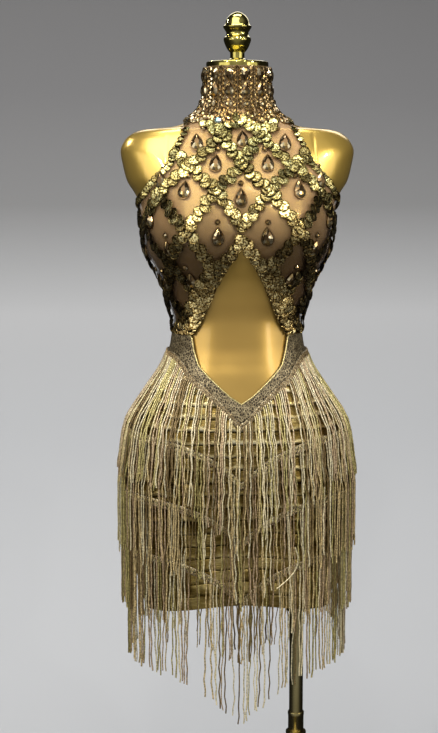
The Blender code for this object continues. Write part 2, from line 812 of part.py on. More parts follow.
def build_fringe_tier(tier, group, material):
    """A narrow strip round the skirt with strands drawn down out of its lower face."""
    word, front, side, back, turn, bends = FRINGE_TIERS[tier]
    strands = STRANDS_IN_TIER
    bm = bmesh.new()
    ring = []
    for strand in range(strands):
        middle = 2 * math.pi * (strand + turn) / strands
        half_turn = STRAND_WIDTH / 2 / body_radius(middle, root_height(middle, front, side, back))
        ring.append((middle - half_turn, middle))
        ring.append((middle + half_turn, middle))
    top_line = []
    inner_line = []
    outer_line = []
    for angle, _ in ring:
        root = root_height(angle, front, side, back)
        top = body_point(angle, root, STRIP_SEAT + STRIP_THICK * 0.5)
        low = body_point(angle, root - STRIP_HEIGHT, STRIP_SEAT)
        out = body_point(angle, root - STRIP_HEIGHT, STRIP_SEAT + STRIP_THICK)
        top_line.append(bm.verts.new(top))
        inner_line.append(bm.verts.new(low))
        outer_line.append(bm.verts.new(out))
    count = len(ring)
    for index in range(count):
        after = (index + 1) % count
        bm.faces.new((top_line[index], inner_line[index], inner_line[after], top_line[after]))
        bm.faces.new((outer_line[index], top_line[index], top_line[after], outer_line[after]))
        is_strand = index % 2 == 0
        if not is_strand:
            bm.faces.new((inner_line[index], outer_line[index], outer_line[after], inner_line[after]))
            continue
        middle = ring[index][1]
        root = root_height(middle, front, side, back) - STRIP_HEIGHT
        sway = 0.0022 * math.sin(strands * 1.7 + index * 2.399)
        length = STRAND_LENGTH * (1.0 + 0.03 * math.sin(index * 1.13 + tier))
        above = [inner_line[index], inner_line[after], outer_line[after], outer_line[index]]
        for bend, share in enumerate(bends):
            height = root - length * share
            angle = middle + sway * share / body_radius(middle, root)
            next_height = root - length * bends[min(bend + 1, len(bends) - 1)]
            inner = hanging_radius(middle, height, root, strand_offset(tier, middle, next_height))
            half_width = (STRAND_WIDTH + (STRAND_TIP_WIDTH - STRAND_WIDTH) * share) / 2
            below = [bm.verts.new(p) for p in strand_points(angle, height, half_width, inner, STRIP_THICK)]
            for corner in range(4):
                following = (corner + 1) % 4
                bm.faces.new((above[corner], above[following], below[following], below[corner]))
            above = below
        bm.faces.new(above)
    return object_from_bmesh("fringe_tier_" + word, bm, material, group)


def main():
    clear_scene()
    group = new_collection(OBJECT_NAME)
    cutters = new_collection("cutters")

    gold = new_material("form_gold", (0.62, 0.42, 0.13), 0.16, 1.0)
    brass = new_material("stand_brass", (0.42, 0.33, 0.14), 0.28, 1.0)
    mesh_cloth = new_material("beaded_mesh", (0.42, 0.30, 0.16), 0.45, 0.3)
    glitter = new_material("glitter_band", (0.36, 0.31, 0.26), 0.5, 0.4)
    lame = new_material("gold_lame", (0.56, 0.45, 0.24), 0.25, 0.9)
    fringe = new_material("metallic_fringe", (0.50, 0.44, 0.31), 0.4, 0.6)

    build_dress_form(group, gold)
    build_cap_and_finial(group, gold)
    build_stand(group, cutters, brass)
    build_collar(group, mesh_cloth)
    build_bodice(group, mesh_cloth)
    build_waist_band(group, glitter)
    build_skirt_panel("skirt_front", 0.0, group, lame)
    build_skirt_panel("skirt_back", math.pi, group, lame)
    for tier in range(len(FRINGE_TIERS)):
        build_fringe_tier(tier, group, fringe)


main()
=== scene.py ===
import math
import random

import bmesh
import bpy
from mathutils import Matrix, Vector


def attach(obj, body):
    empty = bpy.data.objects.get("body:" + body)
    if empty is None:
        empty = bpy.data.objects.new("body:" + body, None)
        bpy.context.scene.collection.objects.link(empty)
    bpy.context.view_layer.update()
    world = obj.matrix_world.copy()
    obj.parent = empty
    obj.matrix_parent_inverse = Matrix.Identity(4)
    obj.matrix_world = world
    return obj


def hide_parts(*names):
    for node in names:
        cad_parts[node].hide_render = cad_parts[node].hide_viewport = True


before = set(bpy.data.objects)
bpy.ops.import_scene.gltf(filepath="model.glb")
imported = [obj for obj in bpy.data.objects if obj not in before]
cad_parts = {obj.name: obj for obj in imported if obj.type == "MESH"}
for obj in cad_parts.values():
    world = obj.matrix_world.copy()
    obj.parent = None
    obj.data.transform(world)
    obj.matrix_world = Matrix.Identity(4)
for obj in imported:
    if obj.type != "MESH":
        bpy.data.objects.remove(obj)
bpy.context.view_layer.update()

scene = bpy.context.scene
deg = math.radians

view = {
    "place": (-0.16602, -2.37420, 1.32),
    "focalPixels": 1500.0,      # focal length at the photo's own size
    "imageHeight": 733,
    "tiltDown": 7.2,            # degrees
    "turnLeft": 0.0120,         # radians off the line to the pole of the axes
}

# The figure that the cloth lies on; sections: height, half width, front depth, back depth, roundness
figure = {
    "sections": [
        (1.4850, 0.0475, 0.0475, 0.0480, 2.0), (1.4570, 0.0480, 0.0480, 0.0490, 2.0),
        (1.4420, 0.0500, 0.0495, 0.0520, 2.0), (1.4285, 0.0550, 0.0530, 0.0570, 2.0),
        (1.4160, 0.0640, 0.0570, 0.0620, 2.0), (1.4060, 0.0780, 0.0600, 0.0660, 2.1),
        (1.3975, 0.1020, 0.0630, 0.0700, 2.3), (1.3925, 0.1500, 0.0660, 0.0730, 2.6),
        (1.3860, 0.1660, 0.0700, 0.0770, 2.7), (1.3760, 0.1770, 0.0760, 0.0830, 2.7),
        (1.3600, 0.1835, 0.0840, 0.0890, 2.7), (1.3380, 0.1800, 0.0930, 0.0930, 2.6),
        (1.3150, 0.1740, 0.1000, 0.0950, 2.5), (1.2950, 0.1620, 0.1040, 0.0960, 2.4),
        (1.2700, 0.1500, 0.1060, 0.0960, 2.3), (1.2400, 0.1465, 0.1050, 0.0945, 2.3),
        (1.2050, 0.1400, 0.1000, 0.0920, 2.3), (1.1850, 0.1300, 0.0950, 0.0890, 2.3),
        (1.1600, 0.1170, 0.0880, 0.0840, 2.3), (1.1300, 0.1085, 0.0820, 0.0785, 2.3),
        (1.0950, 0.0985, 0.0775, 0.0750, 2.3), (1.0600, 0.1020, 0.0800, 0.0790, 2.3),
        (1.0350, 0.1090, 0.0850, 0.0860, 2.3), (1.0150, 0.1180, 0.0900, 0.0930, 2.3),
        (0.9900, 0.1345, 0.0950, 0.1030, 2.3), (0.9650, 0.1505, 0.1000, 0.1130, 2.3),
        (0.9350, 0.1655, 0.1050, 0.1220, 2.3), (0.9000, 0.1735, 0.1080, 0.1280, 2.3),
        (0.8600, 0.1775, 0.1090, 0.1300, 2.3), (0.8200, 0.1785, 0.1085, 0.1280, 2.3),
        (0.7800, 0.1760, 0.1070, 0.1230, 2.3), (0.7400, 0.1705, 0.1055, 0.1170, 2.3),
        (0.7000, 0.1620, 0.1040, 0.1120, 2.3), (0.6620, 0.1520, 0.1020, 0.1060, 2.3),
        (0.6200, 0.1450, 0.1010, 0.1040, 2.3),
    ],
    "bustX": 0.072, "bustZ": 1.243, "bustRise": 0.034, "bustWide": 0.052, "bustHigh": 0.058,
    "tableLow": 0.500, "tableStep": 0.001, "tableRows": 990, "tableTurns": 180,
}


def sectionSlope(rows, index, column):
    if index in (0, len(rows) - 1):
        return 0.0
    before = (rows[index][column] - rows[index - 1][column]) / (rows[index][0] - rows[index - 1][0])
    after = (rows[index + 1][column] - rows[index][column]) / (rows[index + 1][0] - rows[index][0])
    return 0.0 if before * after <= 0 else 2 * before * after / (before + after)


sectionsUp = sorted(figure["sections"])


def sectionValue(height, column):
    rows = sectionsUp
    height = min(max(height, rows[0][0]), rows[-1][0])
    index = 0
    while index < len(rows) - 2 and rows[index + 1][0] < height:
        index += 1
    low, high = rows[index], rows[index + 1]
    span = high[0] - low[0]
    t = (height - low[0]) / span
    riseLow = sectionSlope(rows, index, column) * span
    riseHigh = sectionSlope(rows, index + 1, column) * span
    return ((2 * t ** 3 - 3 * t ** 2 + 1) * low[column] + (t ** 3 - 2 * t ** 2 + t) * riseLow
            + (3 * t ** 2 - 2 * t ** 3) * high[column] + (t ** 3 - t ** 2) * riseHigh)


def radiusRow(height):      # the figure's radius at each turn of one level
    wide, front, back, power = (sectionValue(height, column) for column in (1, 2, 3, 4))
    level = (height - figure["bustZ"]) / figure["bustHigh"]
    row = []
    for step in range(figure["tableTurns"] + 1):
        angle = 2 * math.pi * step / figure["tableTurns"]
        depth = front if math.cos(angle) > 0 else back
        across, ahead = abs(math.sin(angle)) / wide, abs(math.cos(angle)) / depth
        radius = (across ** power + ahead ** power) ** (-1 / power)
        if math.cos(angle) > 0:
            side = (abs(radius * math.sin(angle)) - figure["bustX"]) / figure["bustWide"]
            radius += figure["bustRise"] * math.cos(angle) ** 0.7 * math.exp(-side ** 2 - level ** 2)
        row.append(radius)
    return row


tableLevels = [figure["tableLow"] + figure["tableStep"] * row for row in range(figure["tableRows"])]
radiusTable = [radiusRow(level) for level in tableLevels]
print("figure measured")


def bodyRadius(angle, height):      # read from the table, smooth between its places
    turn = (angle / (2 * math.pi)) % 1.0 * figure["tableTurns"]
    column = int(turn)
    across = turn - column
    level = min(max((height - figure["tableLow"]) / figure["tableStep"], 0.0), figure["tableRows"] - 1.001)
    row = int(level)
    up = level - row
    low, high = radiusTable[row], radiusTable[row + 1]
    return ((low[column] * (1 - across) + low[column + 1] * across) * (1 - up)
            + (high[column] * (1 - across) + high[column + 1] * across) * up)


def bodySurface(angle, height):
    radius = bodyRadius(angle, height)
    return Vector((radius * math.sin(angle), -radius * math.cos(angle), height))


def bodyFrame(angle, height, offset):      # place, across, up and out on the figure
    across = (bodySurface(angle + 0.02, height) - bodySurface(angle - 0.02, height)).normalized()
    up = bodySurface(angle, height + 0.002) - bodySurface(angle, height - 0.002)
    out = across.cross(up).normalized()
    up = out.cross(across).normalized()
    return bodySurface(angle, height) + out * offset, across, up, out


def bodyPoint(angle, height, offset):
    return bodyFrame(angle, height, offset)[0]


def onBody(angle, height, offset, spin=0.0, tilt=0.0):      # matrix that lays a small part on the figure
    place, across, up, out = bodyFrame(angle, height, offset)
    lay = Matrix((across, up, out)).transposed().to_4x4()
    return Matrix.Translation(place) @ lay @ Matrix.Rotation(spin, 4, "Z") @ Matrix.Rotation(tilt, 4, "X")


def inTable(value, rows, column):
    ordered = sorted(rows)
    if value <= ordered[0][0]:
        return ordered[0][column]
    for low, high in zip(ordered, ordered[1:]):
        if value <= high[0]:
            share = (value - low[0]) / (high[0] - low[0])
            return low[column] + (high[column] - low[column]) * share
    return ordered[-1][column]


# Materials
def fillSockets(material, node, values):      # each value is a number, a colour or another node's output
    for socket, value in values.items():
        if isinstance(value, bpy.types.NodeSocket):
            material.node_tree.links.new(value, node.inputs[socket])
        else:
            node.inputs[socket].default_value = value


def addNode(material, kind, values=None):
    node = material.node_tree.nodes.new("ShaderNode" + kind)
    fillSockets(material, node, values or {})
    return node


def setShader(material, values):
    fillSockets(material, material.node_tree.nodes["Principled BSDF"], values)


def newMaterial(name, color, metallic, roughness):
    material = bpy.data.materials.new(name)
    material.use_nodes = True
    setShader(material, {"Base Color": (*color, 1.0), "Metallic": metallic, "Roughness": roughness})
    return material


def objectSpace(material, stretch=(1, 1, 1)):
    place = addNode(material, "TexCoord").outputs["Object"]
    return addNode(material, "Mapping", {"Vector": place, "Scale": stretch}).outputs["Vector"]


def noiseOn(material, scale, detail=3.0, stretch=(1, 1, 1)):
    values = {"Scale": scale, "Detail": detail, "Vector": objectSpace(material, stretch)}
    return addNode(material, "TexNoise", values).outputs["Fac"]


def colorRamp(material, factor, stops):
    node = addNode(material, "ValToRGB", {"Fac": factor})
    elements = node.color_ramp.elements
    while len(elements) < len(stops):
        elements.new(0.5)
    for element, (position, color) in zip(elements, stops):
        element.position = position
        element.color = (*color, 1.0)
    return node.outputs["Color"]


def noiseColors(material, scale, detail, stretch, stops):
    return colorRamp(material, noiseOn(material, scale, detail, stretch), stops)


def useRoughness(material, factor, low, high):
    spread = addNode(material, "MapRange", {"To Min": low, "To Max": high, "Value": factor})
    setShader(material, {"Roughness": spread.outputs["Result"]})


def useBump(material, factor, strength, distance):      # a second bump lies on the first
    bump = addNode(material, "Bump", {"Strength": strength, "Distance": distance, "Height": factor})
    before = material.node_tree.nodes["Principled BSDF"].inputs["Normal"].links
    if before:
        fillSockets(material, bump, {"Normal": before[0].from_socket})
    setShader(material, {"Normal": bump.outputs["Normal"]})


def ownUV(material, axis):      # one axis of a piece's own map
    own = addNode(material, "UVMap")
    own.uv_map = "partUV"
    return addNode(material, "SeparateXYZ", {"Vector": own.outputs["UV"]}).outputs[axis]


def heightShare(material, low, high):      # 0 at a low level of the object, 1 at a high one
    height = addNode(material, "SeparateXYZ", {"Vector": objectSpace(material)}).outputs["Z"]
    spread = addNode(material, "MapRange", {"From Min": low, "From Max": high, "Value": height})
    return spread.outputs["Result"]


def blendColors(material, factor, first, second, mode="MIX"):      # sockets 6, 7 and 2 hold the colours
    blend = material.node_tree.nodes.new("ShaderNodeMix")
    blend.data_type = "RGBA"
    blend.blend_type = mode
    fillSockets(material, blend, {"Factor": factor, 6: first, 7: second})
    return blend.outputs[2]


even = (1, 1, 1)      # a pattern that isn't stretched


def formGold():      # painted shade: the gold darker at the waist than at the shoulders, where the light from above falls less
    material = newMaterial("formGold", (0.84, 0.60, 0.20), 0.80, 0.18)
    waist, shoulder = [noiseColors(material, 7.0, 3.0, even, stops) for stops in (
        [(0.3, (0.46, 0.28, 0.060)), (0.7, (0.56, 0.355, 0.085))],
        [(0.3, (0.72, 0.47, 0.095)), (0.7, (0.82, 0.56, 0.13))])]
    # painted shade: the darker waist tones give way to the lit shoulder tones with height
    base = blendColors(material, heightShare(material, 1.12, 1.34), waist, shoulder)
    setShader(material, {"Base Color": base, "Coat Weight": 0.5, "Coat Roughness": 0.07})
    useRoughness(material, noiseOn(material, 22.0, 4.0), 0.26, 0.34)
    return material


def turnedBrass(name, tones, scale, wearScale, stretch, roughness):
    material = newMaterial(name, tones[0], 1.0, roughness[0])
    color = noiseColors(material, scale, 3.0, stretch, [(0.35, tones[0]), (0.65, tones[1])])
    setShader(material, {"Base Color": color})
    useRoughness(material, noiseOn(material, wearScale, 3.0, stretch), *roughness)
    return material


def netFinish(name, low, high, levels, share):      # fine see-through net, its tone blended by height; on the bodice its dark low tone is painted shade below the bust
    material = newMaterial(name, high, 0.0, 0.5)
    tones = []
    for color in (low, high):
        dark = tuple(value * 0.82 for value in color)
        light = tuple(value * 1.18 for value in color)
        tones.append(noiseColors(material, 60.0, 4.0, even, [(0.3, dark), (0.7, light)]))
    base = blendColors(material, heightShare(material, *levels), *tones)
    setShader(material, {"Base Color": base, "Alpha": share, "Sheen Weight": 0.12, "Sheen Roughness": 0.4})
    useBump(material, noiseOn(material, 900.0, 1.0), 0.2, 0.0003)
    return material


def sequinGold():      # stippled discs, each disc one tone; the stipple is partly their texture and partly painted glints, the dark rim is painted shadow where the discs overlap, and the darker bronze below the chest is painted shade
    material = newMaterial("sequinGold", (0.60, 0.55, 0.24), 1.0, 0.2)
    # stipple of dark and near-white specks: the discs' texture with painted glints; the waist set is darker,
    # painted shade
    chest, waist = [noiseColors(material, 430.0, 1.5, even, stops) for stops in (
        [(0.41, (0.10, 0.08, 0.025)), (0.50, (0.60, 0.54, 0.18)), (0.60, (1.0, 0.97, 0.48))],
        [(0.42, (0.09, 0.052, 0.018)), (0.50, (0.62, 0.44, 0.16)), (0.60, (1.0, 0.86, 0.44))])]
    # painted shade: darker bronze below the chest
    base = blendColors(material, heightShare(material, 1.20, 1.38), waist, chest)
    # painted shadow: the dark rim round each disc, where the next disc overlaps
    rings = colorRamp(material, ownUV(material, "X"), [
        (0.00, (0.30, 0.24, 0.14)), (0.12, (1, 1, 1)), (0.66, (1, 1, 1)), (0.80, (0.55, 0.48, 0.32)),
        (0.90, (0.17, 0.13, 0.07)), (1.00, (0.12, 0.09, 0.05))])
    tones = colorRamp(material, ownUV(material, "Y"), [
        (0.00, (0.16, 0.12, 0.09)), (0.30, (0.38, 0.34, 0.28)), (0.60, (0.78, 0.76, 0.72)),
        (0.85, (1, 1, 1))])
    shaded = blendColors(material, 0.85, base, rings, "MULTIPLY")
    setShader(material, {"Base Color": blendColors(material, 0.85, shaded, tones, "MULTIPLY")})
    useRoughness(material, noiseOn(material, 260.0, 2.0), 0.20, 0.36)
    useBump(material, noiseOn(material, 430.0, 1.5), 0.45, 0.0008)
    return material


def crystal():      # foil-backed champagne glass with painted reflections: light and dark by turns along a stone, a painted highlight near its middle, each facet one tone
    material = newMaterial("champagneCrystal", (0.5, 0.36, 0.25), 0.9, 0.06)
    # painted reflections: gold at the round end, a bright painted highlight near the middle, dark towards the
    # point
    color = colorRamp(material, ownUV(material, "Y"), [
        (0.03, (1.0, 0.78, 0.36)), (0.18, (0.66, 0.42, 0.13)), (0.32, (0.13, 0.076, 0.024)),
        (0.46, (1.0, 0.86, 0.54)), (0.58, (0.16, 0.095, 0.036)), (0.74, (0.045, 0.028, 0.011)),
        (0.90, (0.42, 0.29, 0.12))])
    setShader(material, {"Base Color": color, "Coat Weight": 0.15, "Coat Roughness": 0.03})
    return material


def auroraCrystal():
    material = newMaterial("auroraCrystal", (0.30, 0.55, 0.62), 0.8, 0.05)
    color = noiseColors(material, 240.0, 1.0, even, [(0.4, (0.16, 0.50, 0.66)), (0.6, (0.70, 0.80, 0.78))])
    setShader(material, {"Base Color": color})
    return material


def stoneSetting():
    # the setting's metal, its dark brown partly painted shade round the stones' edges
    material = newMaterial("stoneSetting", (0.13, 0.08, 0.035), 1.0, 0.3)
    useRoughness(material, noiseOn(material, 400.0, 2.0), 0.2, 0.45)
    return material


def latticeCloth(name, scale, dark, light):      # glittering braid: light threads crossing over a dark ground
    material = newMaterial(name, dark, 0.6, 0.35)
    cells = addNode(material, "TexVoronoi")
    cells.feature = "DISTANCE_TO_EDGE"
    fillSockets(material, cells, {"Scale": scale, "Vector": objectSpace(material, (1, 1, 0.7))})
    dim = tuple(0.5 * value for value in light)
    threads = colorRamp(material, cells.outputs["Distance"], [(0.04, light), (0.11, dim), (0.20, dark)])
    worn = noiseColors(material, 160.0, 2.0, even, [(0.38, (0.45, 0.42, 0.38)), (0.62, (1, 1, 1))])
    setShader(material, {"Base Color": blendColors(material, 1.0, threads, worn, "MULTIPLY")})
    useRoughness(material, noiseOn(material, 500.0, 1.0), 0.25, 0.55)
    useBump(material, cells.outputs["Distance"], 0.6, 0.0010)
    return material


def goldLame():      # metallic cloth with painted light: paler over the hips, painted shade in the tucks' hollows, a painted highlight on each lip, and that painted shading given up here and there
    material = newMaterial("goldLame", (0.62, 0.50, 0.22), 1.0, 0.26)
    # random horizontal streaks of tone, the brightest painted sheen; the upper tones are painted light over
    # the hips
    face, upper = [noiseColors(material, 20.0, 4.0, (1, 1, 2.5), stops) for stops in (
        [(0.32, (0.32, 0.24, 0.085)), (0.50, (0.56, 0.44, 0.18)), (0.70, (0.98, 0.86, 0.50))],
        [(0.34, (0.42, 0.33, 0.14)), (0.50, (0.80, 0.67, 0.36)), (0.64, (1.0, 0.92, 0.66))])]
    face = blendColors(material, heightShare(material, 0.85, 0.95), face, upper)
    # painted shade in each tuck's hollow, a painted highlight on its lip, darker again up its slope
    tuckShadeAndHighlight = colorRamp(material, ownUV(material, "Y"), [
        (0.00, (0.05, 0.038, 0.018)), (0.08, (0.22, 0.18, 0.09)), (0.17, (1, 1, 1)),
        (0.30, (0.90, 0.86, 0.72)),
        (0.44, (0.26, 0.21, 0.11)), (1.00, (0.09, 0.07, 0.03))])
    flat = noiseColors(material, 60.0, 3.0, (1, 1, 3), [
        (0.35, (0.16, 0.13, 0.06)), (0.65, (0.44, 0.38, 0.24))])
    plain = noiseColors(material, 40.0, 3.0, even, [(0.35, (0.62, 0.56, 0.38)), (0.65, (0.86, 0.80, 0.60))])
    # low down the painted tuck shading gives way to a plain tone
    tuckShading = blendColors(material, heightShare(material, 0.69, 0.78), plain, tuckShadeAndHighlight)
    # patches where the painted tuck shading gives way to a plain darker tone
    lost = noiseColors(material, 13.0, 2.0, (1, 1, 2.2), [(0.50, (0, 0, 0)), (0.64, (0.85, 0.85, 0.85))])
    folded = blendColors(material, lost, tuckShading, flat)
    setShader(material, {"Base Color": blendColors(material, 1.0, face, folded, "MULTIPLY")})
    useRoughness(material, noiseOn(material, 120.0, 3.0, (1, 1, 3)), 0.22, 0.45)
    useBump(material, noiseOn(material, 90.0, 4.0, (1, 1, 5)), 0.5, 0.0014)
    useBump(material, noiseOn(material, 1100.0, 1.0), 0.2, 0.0004)
    return material


cordTones = {
    "palest": (1.0, 0.87, 0.58),
    "hipLightGains": ((1.04, 0.0), (1.75, 0.04)),      # times and plus, low down and over the hips; the larger pair over the hips is painted light
    "middle": 0.92, "dark": 0.60, "light": 1.4,
    "colors": [
        ("cordChampagne", (0.60, 0.46, 0.22)), ("cordPale", (0.92, 0.79, 0.46)),
        ("cordOlive", (0.45, 0.38, 0.145)), ("cordMauve", (0.47, 0.34, 0.20)),
        ("cordBronze", (0.19, 0.13, 0.052)), ("cordSilver", (0.66, 0.59, 0.38)),
    ],
}


def chainette(name, color):      # one tone of the twisted metallic cord, with painted light: paler over the hips
    material = newMaterial(name, color, 0.55, 0.30)
    palest = cordTones["palest"]
    tones = []
    for gain, paler in cordTones["hipLightGains"]:
        raised = [value * gain + paler for value in color]
        middle = [min(limit * cordTones["middle"], value) for value, limit in zip(raised, palest)]
        dark = tuple(value * cordTones["dark"] for value in middle)
        light = tuple(min(limit, value * cordTones["light"]) for value, limit in zip(middle, palest))
        tones.append(noiseColors(material, 420.0, 2.0, even, [(0.40, dark), (0.50, middle), (0.62, light)]))
    # painted light: the cord blends to its paler tones over the hips
    setShader(material, {"Base Color": blendColors(material, heightShare(material, 0.84, 0.99), *tones)})
    useBump(material, noiseOn(material, 600.0, 1.0), 0.5, 0.0006)
    return material


formFinish = formGold()
brassFinish = turnedBrass(
    "standBrass", ((0.29, 0.235, 0.09), (0.46, 0.39, 0.19)), 24.0, 60.0, (1, 1, 0.2), (0.15, 0.28))
capFinish = turnedBrass("capBrass", ((0.36, 0.30, 0.075), (0.54, 0.46, 0.13)), 45.0, 90.0, even, (0.05, 0.16))
# painted shade: the bodice net turns dark brown below the bust, where the light from above falls less
meshFinish = netFinish("nudeMesh", (0.085, 0.046, 0.020), (0.60, 0.38, 0.18), (1.195, 1.30), 0.34)
collarFinish = netFinish("collarMesh", (0.27, 0.175, 0.065), (0.21, 0.135, 0.05), (1.425, 1.46), 0.50)
sequinFinish = sequinGold()
crystalFinish = crystal()
auroraFinish = auroraCrystal()
settingFinish = stoneSetting()
glitterFinish = latticeCloth("glitterCloth", 330.0, (0.045, 0.031, 0.016), (0.47, 0.38, 0.215))
braidFinish = latticeCloth("headingBraid", 300.0, (0.085, 0.062, 0.036), (0.62, 0.53, 0.34))
lameFinish = goldLame()
cordFinishes = [chainette(name, color) for name, color in cordTones["colors"]]
print("materials made")


def smallMesh(name, bm):
    mesh = bpy.data.meshes.new(name)
    bm.to_mesh(mesh)
    bm.free()
    return mesh


def finishPiece(name, bm, finishes, body, smooth=True):
    mesh = smallMesh(name, bm)
    for finish in finishes:
        mesh.materials.append(finish)
    if smooth:
        mesh.shade_smooth()
    piece = bpy.data.objects.new(name, mesh)
    scene.collection.objects.link(piece)
    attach(piece, body)
    return piece


def addWall(piece, thickness):
    wall = piece.modifiers.new("wall", "SOLIDIFY")
    wall.thickness = thickness
    wall.offset = 1.0
    return wall


def laidGrid(columns, rows, place):      # a grid whose points are moved to place(across, up), both 0 to 1
    bm = bmesh.new()
    bmesh.ops.create_grid(bm, x_segments=columns, y_segments=rows, size=1.0)
    for vert in bm.verts:
        vert.co = place((vert.co.x + 1) / 2, (vert.co.y + 1) / 2)
    return bm


def closeRing(bm):      # welds the two ends of a grid that goes all round
    bmesh.ops.remove_doubles(bm, verts=bm.verts, dist=0.00005)
    bmesh.ops.recalc_face_normals(bm, faces=bm.faces)


def joinCopies(template, matrices, tones=None):      # one mesh with a copy of a small part at each matrix
    bm = bmesh.new()
    for index, matrix in enumerate(matrices):
        firstVert, firstFace = len(bm.verts), len(bm.faces)
        bm.from_mesh(template)
        bm.verts.ensure_lookup_table()
        bmesh.ops.transform(bm, matrix=matrix, verts=bm.verts[firstVert:])
        if tones:
            bm.faces.ensure_lookup_table()
            layer = bm.loops.layers.uv["partUV"]
            for face in bm.faces[firstFace:]:
                for loop in face.loops:
                    loop[layer].uv.y = tones[index]
    return bm


def curveMesh(name, paths, radius, sides):      # one mesh of cords; a path is points, thickness and finish
    curve = bpy.data.curves.new(name, "CURVE")
    curve.dimensions = "3D"
    curve.bevel_depth = radius
    curve.bevel_resolution = sides
    curve.use_fill_caps = True
    for finish in cordFinishes:      # without its materials the curve forgets which spline has which
        curve.materials.append(finish)
    for points, thickness, finish in paths:
        spline = curve.splines.new("POLY")
        spline.points.add(len(points) - 1)
        spline.material_index = finish
        for point, place in zip(spline.points, points):
            point.co = (*place, 1.0)
            point.radius = thickness
    holder = bpy.data.objects.new(name, curve)
    scene.collection.objects.link(holder)
    mesh = bpy.data.meshes.new_from_object(holder.evaluated_get(bpy.context.evaluated_depsgraph_get()))
    bpy.data.objects.remove(holder)
    bpy.data.curves.remove(curve)
    return mesh


# Dress form
form = {
    "inset": 0.0008, "bottom": 0.662, "levelStep": 0.0035, "turnStep": 3.0, "armSeamX": 0.1125,
    "armSeamDepth": 0.0013, "armSeamWidth": 0.0022, "armSeamLow": 1.335, "armSeamHigh": 1.389,
    "armSeamFrom": 46.0, "armSeamTo": 66.0, "fineStep": 0.6,      # degrees that get closer columns
}


def formTurns():
    turns = []
    angle = -180.0
    while angle < 179.9:
        turns.append(deg(angle))
        fine = form["armSeamFrom"] <= abs(angle + 0.01) < form["armSeamTo"]
        angle = round(angle + (form["fineStep"] if fine else form["turnStep"]), 3)
    return turns + [math.pi]


def formLevels():
    levels = [row[0] for row in sectionsUp if row[0] >= form["bottom"]]
    filled = []
    for low, high in zip(levels, levels[1:]):
        spread = abs(sectionValue(high, 1) - sectionValue(low, 1)) + high - low
        count = max(1, int(spread / form["levelStep"]))
        filled += [low + (high - low) * step / count for step in range(count)]
    return filled + [levels[-1]]


def makeForm():
    levels, turns = formLevels(), formTurns()
    rows, columns = len(levels) - 1, len(turns) - 1

    def place(across, up):
        angle = turns[round(across * columns)]
        height = levels[round(up * rows)]
        spot = bodyPoint(angle, height, -form["inset"])
        spot.z = height
        if spot.y < 0 and height > form["armSeamLow"] - 0.02:
            beside = (abs(spot.x) - form["armSeamX"]) / form["armSeamWidth"]
            fade = min(1.0, max(0.0, (height - form["armSeamLow"] + 0.02) / 0.02))
            fade *= min(1.0, max(0.0, (form["armSeamHigh"] - height) / 0.012))
            spot.y += form["armSeamDepth"] * math.exp(-beside ** 2) * fade
        return spot

    bm = laidGrid(columns, rows, place)
    closeRing(bm)
    rims = [edge for edge in bm.edges if edge.is_boundary]
    caps = bmesh.ops.edgeloop_fill(bm, edges=rims)["faces"]
    bmesh.ops.recalc_face_normals(bm, faces=bm.faces)
    low = [face for face in caps if face.calc_center_median().z < 1.0]
    bmesh.ops.inset_region(bm, faces=low, thickness=0.004, depth=0.0)
    piece = finishPiece("dressForm", bm, [formFinish], "form")
    piece.data.set_sharp_from_angle(angle=deg(50))
    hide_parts("dress_form")


makeForm()
print("dress form made")

